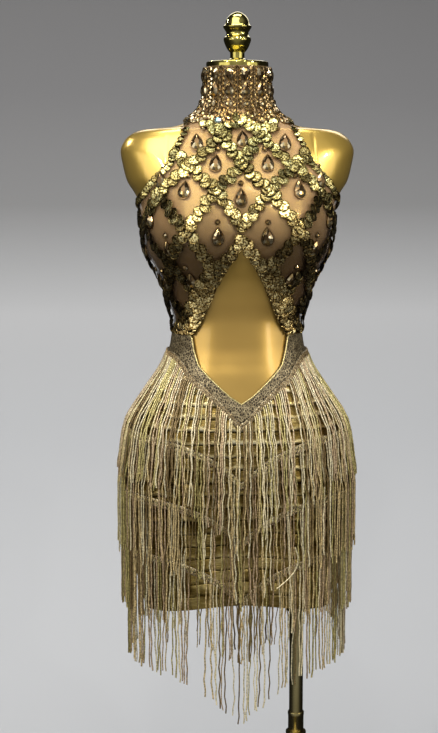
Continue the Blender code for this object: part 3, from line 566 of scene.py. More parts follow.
# Turned metal parts
turned = {
    "poleX": 0.0985, "sharp": 32.0,      # degrees
    "screwHeight": 0.402, "screwTurn": -16.0, "screwSteps": 36, "screwSharp": 25.0,
    "fluteFrom": 0.0115, "fluteDepth": 0.07,      # grip flutes beyond this radius, share of the radius
    "screw": [      # radius and height of each corner, here out from the pole's middle
        (0, 0.0116), (0.0035, 0.0116), (0.0035, 0.0292), (0.009, 0.0292), (0.013, 0.0322), (0.013, 0.0422),
        (0.0122, 0.0438), (0.01, 0.0452), (0, 0.0452),
    ],
}
turnedParts = [      # name, node, axis, body, slot, bored, steps, and radius and height of each corner
    ("neckCap", "neck_cap", "middle", "form", "form_gold", False, 96, [
        (0, 1.4853), (0.0474, 1.4853), (0.0483, 1.4856), (0.0486, 1.4865), (0.0486, 1.496), (0.0481, 1.4973),
        (0.0468, 1.498), (0.03, 1.498), (0.029, 1.4972), (0, 1.4972)]),
    ("finialKnob", "finial", "middle", "form", "form_gold", False, 48, [
        (0, 1.4983), (0.0147, 1.4983), (0.0147, 1.5013), (0.0128, 1.5023), (0.0113, 1.5035), (0.0113, 1.5123),
        (0.0125, 1.5135), (0.0151, 1.5163), (0.0172, 1.5198), (0.0188, 1.5233), (0.0204, 1.5273),
        (0.0213, 1.5301), (0.0216, 1.5315), (0.0213, 1.5328), (0.0209, 1.5353), (0.0188, 1.5368),
        (0.0178, 1.5383), (0.0173, 1.5408), (0.0176, 1.5433), (0.019, 1.5458), (0.0207, 1.5483),
        (0.0219, 1.5501), (0.0222, 1.5515), (0.0219, 1.5528), (0.02, 1.5543), (0.0187, 1.5563),
        (0.0182, 1.5593), (0.0173, 1.5623), (0.0156, 1.5655), (0.0133, 1.5683), (0.0103, 1.5708),
        (0.0068, 1.5728), (0.003, 1.5743), (0, 1.575)]),
    ("basePlate", "base_plate", "middle", "stand", "stand_brass", False, 120, [
        (0, 0), (0.1788, 0), (0.18, 0.0012), (0.18, 0.0065), (0.1794, 0.0082), (0.1782, 0.0094),
        (0.1765, 0.01), (0, 0.01)]),
    ("baseSocket", "base_socket", "pole", "stand", "stand_brass", True, 48, [
        (0.0131, 0.0103), (0.034, 0.0103), (0.034, 0.0139), (0.0334, 0.0147), (0.03, 0.0163),
        (0.0195, 0.0177), (0.0175, 0.0193), (0.0165, 0.0223), (0.0165, 0.0383), (0.016, 0.0395),
        (0.015, 0.0403), (0.0131, 0.0403)]),
    ("lowerTube", "lower_tube", "pole", "stand", "stand_brass", True, 48, [
        (0.0116, 0.0103), (0.0128, 0.0103), (0.0128, 0.4396), (0.0133, 0.4404), (0.0134, 0.4412),
        (0.0134, 0.445), (0.013, 0.4458), (0.0124, 0.446), (0.0116, 0.446)]),
    ("upperTube", "upper_tube", "pole", "form", "stand_brass", True, 48, [
        (0.0101, 0.17), (0.0113, 0.17), (0.0113, 0.6557), (0.0101, 0.6557)]),
    ("formSocket", "form_socket", "pole", "form", "stand_brass", False, 48, [
        (0, 0.6617), (0.032, 0.6617), (0.032, 0.6583), (0.0312, 0.6575), (0.0165, 0.6552), (0.0165, 0.6177),
        (0.0155, 0.6167), (0.0116, 0.6167), (0.0116, 0.656), (0, 0.656)]),
    ("clampBand", "clamp_band", "pole", "stand", "stand_brass", True, 48, [
        (0.0131, 0.391), (0.0162, 0.391), (0.0166, 0.3915), (0.0166, 0.4125), (0.0162, 0.413),
        (0.0131, 0.413)]),
    ("clampBoss", "clamp_boss", "screw", "stand", "stand_brass", True, 32, [
        (0.0038, 0.0169), (0.0085, 0.0169), (0.0085, 0.0279), (0.0079, 0.0286), (0.007, 0.0289),
        (0.0038, 0.0289)]),
]


def turnProfile(corners, bored, steps):
    bm = bmesh.new()
    line = [bm.verts.new((radius, 0, height)) for radius, height in corners]
    edges = [bm.edges.new(pair) for pair in zip(line, line[1:])]
    if bored:
        edges.append(bm.edges.new((line[-1], line[0])))
    bmesh.ops.spin(
        bm, geom=line + edges, cent=(0, 0, 0), axis=(0, 0, 1), angle=2 * math.pi, steps=steps, use_merge=True)
    bmesh.ops.remove_doubles(bm, verts=bm.verts, dist=0.00001)
    bmesh.ops.recalc_face_normals(bm, faces=bm.faces)
    return bm


def turnedPiece(name, node, bm, matrix, finish, body, sharp):
    bmesh.ops.transform(bm, matrix=matrix, verts=bm.verts)
    piece = finishPiece(name, bm, [finish], body)
    piece.data.set_sharp_from_angle(angle=deg(sharp))
    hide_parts(node)


def makeTurned():
    sideways = Vector((math.sin(deg(turned["screwTurn"])), -math.cos(deg(turned["screwTurn"])), 0))
    clamp = Matrix.Translation((turned["poleX"], 0, turned["screwHeight"]))
    around = {
        "middle": Matrix.Identity(4),
        "pole": Matrix.Translation((turned["poleX"], 0, 0)),
        "screw": clamp @ sideways.to_track_quat("Z", "Y").to_matrix().to_4x4(),
    }
    for name, node, axis, body, slotName, bored, steps, corners in turnedParts:
        bm = turnProfile(corners, bored, steps)
        finish = capFinish if slotName == "form_gold" else brassFinish
        turnedPiece(name, node, bm, around[axis], finish, body, turned["sharp"])
    bm = turnProfile(turned["screw"], False, turned["screwSteps"])
    for vert in bm.verts:      # every second row of the screw's rim lies deeper
        if math.hypot(vert.co.x, vert.co.y) > turned["fluteFrom"]:
            row = round(math.atan2(vert.co.y, vert.co.x) / (2 * math.pi / turned["screwSteps"]))
            shrink = 1 - turned["fluteDepth"] * (row % 2)
            vert.co.x *= shrink
            vert.co.y *= shrink
    turnedPiece(
        "clampScrew", "clamp_screw", bm, around["screw"], brassFinish, "screw",
        turned["screwSharp"])


makeTurned()
print("stand made")

# Sheer bodice
bodice = {
    "clear": 0.0015, "wall": 0.0012, "shownWall": 0.00072, "columns": 84, "rows": 140,
    "top": 1.4235, "bottom": 1.0783, "creases": 30, "creaseTop": 1.395, "creaseFall": 0.20,
    "creasePlaces": (0.70, 0.26),      # least and spread: share of the way to the armhole
    "creaseHeadings": (48, 16), "creaseLengths": (0.018, 0.022), "creaseWidths": (0.0016, 0.0012),
    "creaseDepths": (0.35, 0.65), "creaseDepth": 0.0017, "creaseRadius": 0.12,
}
keyholeEdge = [(1.2200, 0.0), (1.1880, 11.7), (1.1600, 22.0), (1.1200, 34.5), (1.0880, 46.5), (1.0783, 50.5)]
armholeEdge = [
    (1.4235, 118.0), (1.4140, 105.0), (1.4080, 90.0), (1.4020, 72.0), (1.3960, 60.0), (1.3890, 53.5),
    (1.3540, 52.7), (1.3370, 53.1), (1.3150, 60.0), (1.2950, 68.5), (1.2840, 79.0), (1.2740, 91.0),
    (1.2620, 103.0), (1.2400, 114.0), (1.2000, 118.5), (1.0783, 122.0),
]


def keyholeAngle(height):
    return deg(inTable(height, keyholeEdge, 1)) if height < keyholeEdge[0][0] else 0.0


def armholeAngle(height):
    return deg(inTable(height, armholeEdge, 1))


def bodiceCreases(side):      # pull lines in from the armhole: angle, height, heading, length, width, depth
    chance = random.Random(11 + side)

    def draw(setting):
        least, spread = bodice[setting]
        return least + spread * chance.random()

    creases = []
    for index in range(bodice["creases"]):
        height = bodice["creaseTop"] - bodice["creaseFall"] * (index + chance.random()) / bodice["creases"]
        angle = armholeAngle(height) * draw("creasePlaces")
        heading, length, width = deg(draw("creaseHeadings")), draw("creaseLengths"), draw("creaseWidths")
        creases.append((angle, height, heading, length, width, bodice["creaseDepth"] * draw("creaseDepths")))
    return creases


def creaseOffset(angle, height, creases):
    total = 0.0
    for middle, level, heading, length, width, depth in creases:
        rise = height - level
        if abs(rise) > length:
            continue
        arc = (angle - middle) * bodice["creaseRadius"]
        along = arc * math.cos(heading) + rise * math.sin(heading)
        beside = (-arc * math.sin(heading) + rise * math.cos(heading)) / width
        if abs(beside) < 3 and abs(along) < length:
            total += depth * math.exp(-beside ** 2) * (1 - (along / length) ** 2)
    return total


def makeBodice():
    bottom, rows = bodice["bottom"], bodice["rows"]
    levels = [bottom + (bodice["top"] - bottom) * step / rows for step in range(rows + 1)]
    tip = min(range(len(levels)), key=lambda index: abs(levels[index] - keyholeEdge[0][0]))
    levels[tip] = keyholeEdge[0][0]
    whole = bmesh.new()
    for side in (1, -1):
        creases = bodiceCreases(side)

        def place(across, up):
            height = levels[round(up * rows)]
            inner, outer = keyholeAngle(height), armholeAngle(height)
            angle = inner + (outer - inner) * across
            offset = bodice["clear"] + creaseOffset(angle, height, creases)
            spot = bodyPoint(angle, height, offset)
            if angle == 0.0:
                spot.x = 0.0
            spot.x *= side
            return spot

        half = laidGrid(bodice["columns"], rows, place)
        if side < 0:
            bmesh.ops.reverse_faces(half, faces=half.faces)
        mesh = smallMesh("bodiceHalf", half)
        whole.from_mesh(mesh)
        bpy.data.meshes.remove(mesh)
    bmesh.ops.remove_doubles(whole, verts=whole.verts, dist=0.00005)
    piece = finishPiece("bodiceMesh", whole, [meshFinish], "form")
    addWall(piece, bodice["shownWall"])
    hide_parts("bodice")
    return piece


bodicePiece = makeBodice()

collar = {
    "clear": 0.0026, "wall": 0.0012, "shownWall": 0.00072, "top": 1.4896, "bottom": 1.4238,
    "columns": 128, "rows": 26, "opening": 0.0006,
}


def collarAngle(across):
    opening = collar["opening"] / bodyRadius(math.pi, collar["bottom"])
    return -math.pi + opening / 2 + (2 * math.pi - opening) * across


def makeCollar():
    def place(across, up):
        height = collar["bottom"] + (collar["top"] - collar["bottom"]) * up
        return bodyPoint(collarAngle(across), height, collar["clear"])

    bm = laidGrid(collar["columns"], collar["rows"], place)
    piece = finishPiece("collarMesh", bm, [collarFinish], "form")
    addWall(piece, collar["shownWall"])
    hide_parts("collar")
    return piece


collarPiece = makeCollar()
print("sheer mesh made")

# Sequins, stones and edge chains
sequin = {      # rings: width against the ring outside it, rise
    "radius": 0.0092, "sides": 16, "thick": 0.0004,
    "rings": [(0.93, 0.0003), (0.92, -0.0003), (0.66, 0.0002), (0.30, 0.0001)],
}
trim = {
    "sizes": (0.92, 1.08), "bandStep": 0.0080, "bandSag": 0.0035, "bandHalf": 0.0021, "bandStray": 0.0006,
    "bandLift": 0.0036, "liftStray": (-0.0003, 0.0009), "turnStray": 0.3, "shingle": 13.0, "scatterTilt": 6.0,
    "edgeStep": 0.0072, "edgeSize": 0.66, "edgeInset": 0.0030, "edgeLift": 0.0018, "edgeShingle": 24.0,
    "edgeTilt": 9.0, "edgeRoll": 12.0, "keyholeTop": (0.02, 1.2300), "keyholeSide": 0.0110,
    "footAngles": (51, 121),      # degrees from the front
}


def growRing(bm, face, share, rise):      # extrudes a flat face and draws the new one in
    fresh = bmesh.ops.extrude_discrete_faces(bm, faces=[face])["faces"][0]
    middle = fresh.calc_center_median()
    for vert in fresh.verts:
        vert.co.x = middle.x + (vert.co.x - middle.x) * share
        vert.co.y = middle.y + (vert.co.y - middle.y) * share
        vert.co.z += rise
    return fresh


def closedDisc(radiusX, radiusY, sides):      # base disc facing down and its top face
    bm = bmesh.new()
    bmesh.ops.create_circle(bm, cap_ends=True, segments=sides, radius=1.0)
    bmesh.ops.scale(bm, vec=(radiusX, radiusY, 1.0), verts=bm.verts)
    bmesh.ops.recalc_face_normals(bm, faces=bm.faces)
    base = bm.faces[:][0]
    if base.normal.z > 0:
        base.normal_flip()
    top = bmesh.ops.extrude_face_region(bm, geom=[base], use_keep_orig=True)
    upper = [item for item in top["geom"] if isinstance(item, bmesh.types.BMFace)][0]
    return bm, upper


def sequinTemplate():
    bm, face = closedDisc(sequin["radius"], sequin["radius"], sequin["sides"])
    bmesh.ops.translate(bm, vec=(0, 0, sequin["thick"]), verts=face.verts)
    for share, rise in sequin["rings"]:
        face = growRing(bm, face, share, rise)
    bmesh.ops.recalc_face_normals(bm, faces=bm.faces)
    layer = bm.loops.layers.uv.new("partUV")
    for item in bm.faces:
        for loop in item.loops:
            x, y, _ = loop.vert.co
            loop[layer].uv = (math.hypot(x, y) / sequin["radius"], 0.5)      # y is set for each disc later
    return smallMesh("sequinTemplate", bm)


stoneShape = {      # rings: width against the ring outside it, share of the stone's rise
    "settingRise": 0.22, "rim": (0.90, 0.02), "facets": [(0.97, 0.14), (0.70, 0.34), (0.55, 0.22)],
    "pinchPower": 0.9, "pinchGain": 1.12,      # how a drop narrows to its point
    "facetGlintSpread": 0.30, "facetShare": 0.75,      # the first is a random spread of facet tones, painted glints; the second is the share of a facet's tone, the rest its corner's own
}


def stoneTemplate(name, halfWidth, halfHeight, rise, pointed, sides):
    bm, face = closedDisc(1.0, 1.0, sides)
    for vert in bm.verts:
        turn = math.atan2(vert.co.x, vert.co.y)
        pinch = abs(math.sin(turn / 2)) ** stoneShape["pinchPower"] * stoneShape["pinchGain"]
        if not pointed:
            pinch = 1.0
        vert.co.x = halfWidth * math.sin(turn) * pinch
        vert.co.y = halfHeight * math.cos(turn)
    bmesh.ops.translate(bm, vec=(0, 0, rise * stoneShape["settingRise"]), verts=face.verts)
    for item in bm.faces:
        item.material_index = 1
    rim, rimRise = stoneShape["rim"]
    face = growRing(bm, face, rim, rise * rimRise)
    face.material_index = 1
    setting = set(bm.faces)
    for share, climb in stoneShape["facets"]:
        face = growRing(bm, face, share, rise * climb)
    for item in bm.faces:
        if item not in setting or item == face:
            item.material_index = 0
    bmesh.ops.recalc_face_normals(bm, faces=bm.faces)
    layer = bm.loops.layers.uv.new("partUV")
    chance = random.Random(3)
    spread, ofFacet = stoneShape["facetGlintSpread"], stoneShape["facetShare"]
    for item in bm.faces:
        # painted reflections: each facet takes its tone along the stone, spread at random for painted glints
        tone = 0.5 + 0.5 * item.calc_center_median().y / halfHeight + chance.uniform(-spread, spread)
        for loop in item.loops:
            across, along = 0.5 + 0.5 * loop.vert.co.x / halfWidth, 0.5 + 0.5 * loop.vert.co.y / halfHeight
            blended = ofFacet * tone + (1 - ofFacet) * along
            loop[layer].uv = (across, min(0.99, max(0.01, blended)))
    return smallMesh(name, bm)


wallTop = bodice["clear"] + bodice["wall"]
# Corners of the diamond trellis on one half: degrees from the front, height
trellisNodes = {
    "topMiddle": (0, 1.4105), "top": (22, 1.3880), "topSide": (44, 1.4000),
    "chest": (0, 1.3410), "chestSide": (40, 1.3370), "armSide": (51, 1.3560),
    "inner": (20.5, 1.3020), "outer": (56, 1.2970),
    "middle": (0, 1.2460), "bust": (34, 1.2430), "bustSide": (73, 1.2500), "back": (97, 1.2620),
    "under": (24, 1.1900), "underSide": (54, 1.1930), "underBack": (92, 1.1960), "backEdge": (114, 1.2180),
    "low": (42, 1.1420), "lowSide": (71, 1.1480), "lowBack": (108, 1.1480),
    "foot": (57, 1.1060), "footBack": (89, 1.1060),
    "hemFront": (66, 1.0890), "hemMiddle": (79, 1.0890), "hemBack": (103, 1.0890),
}
trellisLinks = [
    ("topMiddle", "top"), ("top", "topSide"), ("top", "chest"), ("top", "chestSide"),
    ("chestSide", "armSide"), ("chest", "inner"), ("chestSide", "inner"), ("chestSide", "outer"),
    ("inner", "middle"), ("inner", "bust"), ("outer", "bust"), ("outer", "bustSide"), ("bustSide", "back"),
    ("bust", "under"), ("bust", "underSide"), ("bustSide", "underSide"), ("bustSide", "underBack"),
    ("back", "backEdge"), ("backEdge", "underBack"), ("underSide", "low"), ("underSide", "lowSide"),
    ("underBack", "lowSide"), ("underBack", "lowBack"), ("low", "foot"), ("lowSide", "foot"),
    ("lowSide", "footBack"), ("lowBack", "footBack"), ("under", "low"), ("foot", "hemFront"),
    ("footBack", "hemMiddle"), ("footBack", "hemBack"),
]


def evenSpots(route, step, sag=0.0):      # angle, height and heading at even steps along a route
    spots = []
    left = step / 2
    for (angleA, heightA), (angleB, heightB) in zip(route, route[1:]):
        radius = bodyRadius((angleA + angleB) / 2, (heightA + heightB) / 2)
        arc, rise = (angleB - angleA) * radius, heightB - heightA
        length = math.hypot(arc, rise)
        heading = math.atan2(rise, arc)
        while left < length:
            share = left / length
            bow = sag * math.sin(math.pi * share)
            spots.append((angleA + (angleB - angleA) * share, heightA + rise * share - bow, heading))
            left += step
        left -= length
    return spots


def discSize(chance):
    return chance.uniform(*trim["sizes"])


def bandMatrices(route, chance):      # a chain of overlapping sequins, a little to one side and the other
    matrices = []
    for index, (angle, height, heading) in enumerate(evenSpots(route, trim["bandStep"], trim["bandSag"])):
        side = 1 if index % 2 else -1
        shift = trim["bandHalf"] * side + chance.uniform(-trim["bandStray"], trim["bandStray"])
        spotAngle = angle - math.sin(heading) * shift / bodyRadius(angle, height)
        spotHeight = height + math.cos(heading) * shift
        lift = wallTop + trim["bandLift"] + chance.uniform(*trim["liftStray"])
        spin = heading - math.pi / 2 + chance.uniform(-trim["turnStray"], trim["turnStray"])
        tilt = deg(trim["shingle"] + chance.uniform(-1, 1) * trim["scatterTilt"])
        lay = onBody(spotAngle, spotHeight, lift, spin, tilt)
        roll = Matrix.Rotation(deg(chance.uniform(-1, 1) * trim["scatterTilt"]), 4, "Y")
        matrices.append(lay @ roll @ Matrix.Scale(discSize(chance), 4))
    return matrices


def edgeMatrices(route, chance):      # one row of smaller sequins along an edge
    matrices = []
    for angle, height, heading in evenSpots(route, trim["edgeStep"]):
        tilt = deg(trim["edgeShingle"] + chance.uniform(-trim["edgeTilt"], trim["edgeTilt"]))
        lay = onBody(angle, height, wallTop + trim["edgeLift"], heading - math.pi / 2, tilt)
        roll = Matrix.Rotation(deg(chance.uniform(-trim["edgeRoll"], trim["edgeRoll"])), 4, "Y")
        matrices.append(lay @ roll @ Matrix.Scale(trim["edgeSize"] * discSize(chance), 4))
    return matrices


def bothSides(route):
    return [[(side * angle, height) for angle, height in route] for side in (1, -1)]


def besideEdge(edge, inset):      # a line at a distance from a bodice edge
    return [(deg(angle) + inset / bodyRadius(deg(angle), height), height) for height, angle in edge]


def beadPiece(name, bm, finishes):
    return finishPiece(name, bm, finishes, "form", smooth=False)


def makeSequins():
    chance = random.Random(5)
    template = sequinTemplate()
    spots = {name: (deg(angle), height) for name, (angle, height) in trellisNodes.items()}
    routes = [[spots[first], spots[last]] for first, last in trellisLinks]
    routes.append([trim["keyholeTop"]] + besideEdge(keyholeEdge[1:-1], trim["keyholeSide"]))
    lines = [line for route in routes for line in bothSides(route)]
    trellis = [matrix for line in lines for matrix in bandMatrices(line, chance)]
    joined = joinCopies(template, trellis, [chance.random() for _ in trellis])
    piece = beadPiece("sequinTrellis", joined, [sequinFinish])
    inset = trim["edgeInset"]
    foot = [(deg(angle), bodice["bottom"] + inset) for angle in trim["footAngles"]]
    routes = [besideEdge(armholeEdge[1:], -inset), besideEdge(keyholeEdge, inset), foot]
    lines = [line for route in routes for line in bothSides(route)]
    edges = [matrix for line in lines for matrix in edgeMatrices(line, chance)]
    joined = joinCopies(template, edges, [chance.random() for _ in edges])
    chain = beadPiece("sequinEdges", joined, [sequinFinish])
    print("sequins:", len(trellis), "in the trellis,", len(edges), "along the edges")
    return [piece, chain]


sequinPieces = makeSequins()

stones = {
    "halfWidth": 0.0116, "halfHeight": 0.0152, "rise": 0.0074, "smallRadius": 0.0048,
    "leafSize": (0.0039, 0.0060, 0.0034), "leafLean": 0.50,      # half width, half height, rise
    "places": [      # one half: degrees from the front, height
        (23.0, 1.3400), (41.0, 1.3710), (39.5, 1.3000), (17.5, 1.2320), (50.0, 1.2120), (43.5, 1.1640),
        (66.0, 1.2560), (69.0, 1.1560), (86.0, 1.2100), (94.0, 1.1560), (55.0, 1.3150),
    ],
    "middlePlaces": [(2.0, 1.3757), (-1.2, 1.2891)],
    "dropLean": 0.10, "dotAbove": 0.0008,
    "collarDrops": 13, "collarFirst": 10.2, "collarLean": 0.06,
    "bareDrop": 6.0, "bareColumn": 5.0,      # degrees from the opening that stay bare
    "collarRows": [      # height, half width against a bodice drop's, upside down
        (1.4765, 0.82, True), (1.4540, 0.82, False), (1.4330, 0.62, False),
    ],
    "collarDots": [(1.4668, 0.0024), (1.4350, 0.0056)],      # height, radius
    "neckDots": [(1.4225, 0.0042, 0.0), (1.4085, 0.0034, 0.5)],      # height, radius, share of a turn
    "columnStep": 0.0072, "columnSide": 0.0033, "columnTop": 1.4850, "columnLow": 1.4240,
    "leanStray": 0.15, "tiltStray": 0.25, "heightStray": 0.0008,
    "flareCount": 230, "flareLow": 1.4000, "flareTop": 1.4215, "flareSide": 0.03, "flareTilt": 0.2,
    "flareLeaves": 0.5, "flareSizes": (0.0022, 0.0040),
    "leafGrowth": 420,      # a leaf's scale for each metre of a dot's radius
    "aurora": (-29.0, 1.4010, 0.0062, 0.004),      # degrees from the front, height, radius, lift
}


def bareAtBack(angle, reach):      # the opening of the collar
    return abs(math.remainder(angle - math.pi, 2 * math.pi)) < deg(reach)


def dotAt(chance, angle, height, offset, radius, tilt=0.0):
    return onBody(angle, height, offset, chance.uniform(-1, 1), tilt) @ Matrix.Scale(radius, 4)


def collarStones(chance, drops, leaves, dots):
    s = stones
    collarTop = collar["clear"] + collar["wall"]
    turn = deg(360 / s["collarDrops"])
    for index in range(s["collarDrops"]):
        across = deg(s["collarFirst"]) + turn * index
        if bareAtBack(across, s["bareDrop"]):
            continue
        for height, size, upsideDown in s["collarRows"]:
            lean = chance.uniform(-s["collarLean"], s["collarLean"]) + (math.pi if upsideDown else 0.0)
            drops.append(onBody(across, height, collarTop, lean) @ Matrix.Scale(size, 4))
        for height, radius in s["collarDots"]:
            dots.append(onBody(across, height, collarTop) @ Matrix.Scale(radius, 4))
        for height, radius, share in s["neckDots"]:
            offset = wallTop if height < collar["bottom"] else collarTop
            dots.append(dotAt(chance, across + turn * share, height, offset, radius))
        between = across + turn / 2
        if bareAtBack(between, s["bareColumn"]):
            continue
        height = s["columnTop"]
        while height > s["columnLow"]:      # a braid of leaf-shaped stones between the drops
            for side in (1, -1):
                spot = between + side * s["columnSide"] / bodyRadius(between, height)
                lean = side * s["leafLean"] + chance.uniform(-s["leanStray"], s["leanStray"])
                tilt = chance.uniform(-s["tiltStray"], s["tiltStray"])
                level = height + chance.uniform(-s["heightStray"], s["heightStray"])
                leaves.append(onBody(spot, level, collarTop, lean, tilt))
            height -= s["columnStep"]


def scatterStones(chance, leaves, dots):      # small stones over the flare below the collar
    for _ in range(stones["flareCount"]):
        height = chance.uniform(stones["flareLow"], stones["flareTop"])
        reach = armholeAngle(height) - stones["flareSide"]
        angle = chance.uniform(-reach, reach)
        radius = chance.uniform(*stones["flareSizes"])
        tilt = chance.uniform(-stones["flareTilt"], stones["flareTilt"])
        if chance.random() < stones["flareLeaves"]:
            leaves.append(dotAt(chance, angle, height, wallTop, radius * stones["leafGrowth"], tilt))
        else:
            dots.append(dotAt(chance, angle, height, wallTop, radius, tilt))


def makeStones():
    chance = random.Random(9)
    drop = stoneTemplate("dropTemplate", stones["halfWidth"], stones["halfHeight"], stones["rise"], True, 14)
    leaf = stoneTemplate("leafTemplate", *stones["leafSize"], True, 8)
    dot = stoneTemplate("dotTemplate", 1.0, 1.0, 1.0, False, 8)
    spots = [(deg(side * angle), height) for angle, height in stones["places"] for side in (1, -1)]
    spots += [(deg(angle), height) for angle, height in stones["middlePlaces"]]
    drops, leaves, dots = [], [], []
    for angle, height in spots:
        drops.append(onBody(angle, height, wallTop, chance.uniform(-stones["dropLean"], stones["dropLean"])))
        above = height + stones["halfHeight"] + stones["smallRadius"] + stones["dotAbove"]
        dots.append(dotAt(chance, angle, above, wallTop, stones["smallRadius"]))
    collarStones(chance, drops, leaves, dots)
    scatterStones(chance, leaves, dots)
    angle, height, radius, lift = stones["aurora"]
    blue = [onBody(deg(angle), height, wallTop + lift) @ Matrix.Scale(radius, 4)]
    print("stones:", len(drops), "drops,", len(leaves), "leaves,", len(dots), "small")
    kinds = [("dropStones", drop, drops, crystalFinish), ("smallStones", dot, dots, crystalFinish),
             ("leafStones", leaf, leaves, crystalFinish), ("auroraStone", dot, blue, auroraFinish)]
    dropPiece, dotPiece, leafPiece, auroraPiece = [
        beadPiece(name, joinCopies(template, places), [finish, settingFinish])
        for name, template, places, finish in kinds]
    return [dropPiece, dotPiece, auroraPiece, leafPiece]


stonePieces = makeStones()

# Waist band
band = {
    "clear": 0.0015, "wall": 0.0024, "columns": 200, "rows": 12, "gap": 0.0003,
    "edges": [      # degrees from the front, lower edge, upper edge
        (0.0, 0.9440, 0.9740), (10.0, 0.9570, 0.9850), (20.0, 0.9720, 1.0000), (30.0, 0.9880, 1.0150),
        (40.0, 1.0040, 1.0310), (47.0, 1.0170, 1.0540), (51.0, 1.0240, 1.0760), (56.0, 1.0310, 1.0780),
        (65.0, 1.0400, 1.0780), (90.0, 1.0430, 1.0780), (122.0, 1.0400, 1.0780), (135.0, 1.0380, 1.0740),
        (180.0, 1.0350, 1.0680),
    ],
    "cordReach": 55, "cordSteps": 90, "cordDrop": 0.0016, "cordLift": 0.0003, "cordRadius": 0.0008,
}


def bandEdge(angle, column):
    folded = abs(math.degrees(math.atan2(math.sin(angle), math.cos(angle))))
    return inTable(folded, band["edges"], column)


def makeWaistBand():
    def place(across, up):
        angle = 2 * math.pi * across + math.pi
        low, high = bandEdge(angle, 1) + band["gap"], bandEdge(angle, 2) - band["gap"]
        return bodyPoint(angle, low + (high - low) * up, band["clear"])

    bm = laidGrid(band["columns"], band["rows"], place)
    closeRing(bm)
    piece = finishPiece("waistBand", bm, [glitterFinish], "form")
    addWall(piece, band["wall"])
    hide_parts("waist_band")
    return piece


bandPiece = makeWaistBand()


def makePiping():      # thin gold cord along the V's upper edge
    reach, count = band["cordReach"], band["cordSteps"]
    turns = [deg(-reach + 2 * reach * step / count) for step in range(count + 1)]
    lift = band["clear"] + band["wall"] + band["cordLift"]
    points = [bodyPoint(turn, bandEdge(turn, 2) - band["cordDrop"], lift) for turn in turns]
    mesh = curveMesh("piping", [(points, 1.0, 0)], band["cordRadius"], 1)
    bm = bmesh.new()
    bm.from_mesh(mesh)
    bpy.data.meshes.remove(mesh)
    return finishPiece("bandPiping", bm, [cordFinishes[2]], "form")


pipingPiece = makePiping()

# Tucked skirt
skirt = {
    "clear": 0.0015, "wall": 0.0012, "rise": 0.0019, "columns": 130, "lip": 0.20,
    "tuckSteps": [0.0, 0.035, 0.09, 0.16, 0.26, 0.40, 0.56, 0.72, 0.86, 0.95],
    "slopeFall": 0.92, "slopePower": 1.3, "hemRoll": 0.25, "hemFront": 0.6565, "hemSide": 0.6350,
    "blockTop": 0.930, "lowerTucks": 14, "upperTucks": 8, "pitch": 0.0190, "upperRows": 64, "gap": 0.0003,
    "gapRadius": 0.15, "wander": 0.0040, "hemTone": 0.36, "swellGain": 0.6, "swells": (0.08, 1.45),
    "waves": 3, "waveSizes": (0.2, 0.8), "waveRates": (5, 34), "waveStarts": (0, 6.3),
}


def hemHeight(angle):
    return skirt["hemSide"] + (skirt["hemFront"] - skirt["hemSide"]) * max(0.0, math.cos(angle)) ** 2


def tuckRoll(phase):      # a fold's outline from its lower edge up: a round lip, then a slope back
    if phase <= 0.0 or phase >= 1.0:
        return 0.0
    if phase < skirt["lip"]:
        return math.sin(0.5 * math.pi * phase / skirt["lip"])
    slope = (phase - skirt["lip"]) / (1 - skirt["lip"])
    return 1.0 - skirt["slopeFall"] * slope ** skirt["slopePower"]


def tuckLevel(angle, height):      # how many tucks lie below a height; those over the hip lie level too
    low = hemHeight(angle)
    pitch = (skirt["blockTop"] - low) / skirt["lowerTucks"]
    if height <= skirt["blockTop"]:
        return (height - low) / pitch
    return skirt["lowerTucks"] + (height - skirt["blockTop"]) / skirt["pitch"]


def makeSkirtPanel(name, node, middle, seed):
    chance = random.Random(seed)
    ranges = [skirt[setting] for setting in ("waveSizes", "waveRates", "waveStarts")]
    waves = [[[chance.uniform(*limits) for limits in ranges] for _ in range(skirt["waves"])]
             for _ in range(skirt["lowerTucks"] + skirt["upperTucks"])]
    half = math.pi / 2 - 0.5 * skirt["gap"] / skirt["gapRadius"]
    lower = [tuck + step for tuck in range(skirt["lowerTucks"]) for step in skirt["tuckSteps"]]
    rows = len(lower) + skirt["upperRows"]
    columns = skirt["columns"]

    def angleAt(across):
        return middle - half + 2 * half * across

    def heightAt(angle, row):
        if row < len(lower):
            low = hemHeight(angle)
            return low + (skirt["blockTop"] - low) * lower[row] / skirt["lowerTucks"]
        top = bandEdge(angle, 1) - skirt["gap"]
        return skirt["blockTop"] + (top - skirt["blockTop"]) * (row - len(lower)) / skirt["upperRows"]

    def place(across, up):
        angle = angleAt(across)
        height = heightAt(angle, round(up * rows))
        level = tuckLevel(angle, height)
        tuck = int(level + 0.0001)
        phase = level - tuck
        swell = sum(size * math.sin(rate * angle + start) for size, rate, start in waves[tuck])
        swell = 1.0 + swell * skirt["swellGain"]
        least, most = skirt["swells"]
        roll = tuckRoll(phase) if tuck else skirt["hemRoll"]      # the hem is a plain strip
        offset = skirt["clear"] + skirt["rise"] * roll * min(most, max(least, swell))
        wander = skirt["wander"] * (swell - 1.0) * math.sin(math.pi * phase) if 0 < up < 1 else 0.0
        return bodyPoint(angle, height + wander, offset)

    bm = laidGrid(columns, rows, place)
    layer = bm.loops.layers.uv.new("partUV")
    for face in bm.faces:
        spots = [divmod(loop.vert.index, columns + 1) for loop in face.loops]
        levels = []
        for row, column in spots:
            angle = angleAt(column / columns)
            levels.append(tuckLevel(angle, heightAt(angle, row)))
        tuck = int(sum(levels) / len(levels))
        for loop, (row, column), level in zip(face.loops, spots, levels):
            phase = min(1.0, max(0.0, level - tuck)) if tuck else skirt["hemTone"]
            loop[layer].uv = (column / columns, phase)
    piece = finishPiece(name, bm, [lameFinish], "form")
    addWall(piece, skirt["wall"])
    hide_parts(node)
    return piece


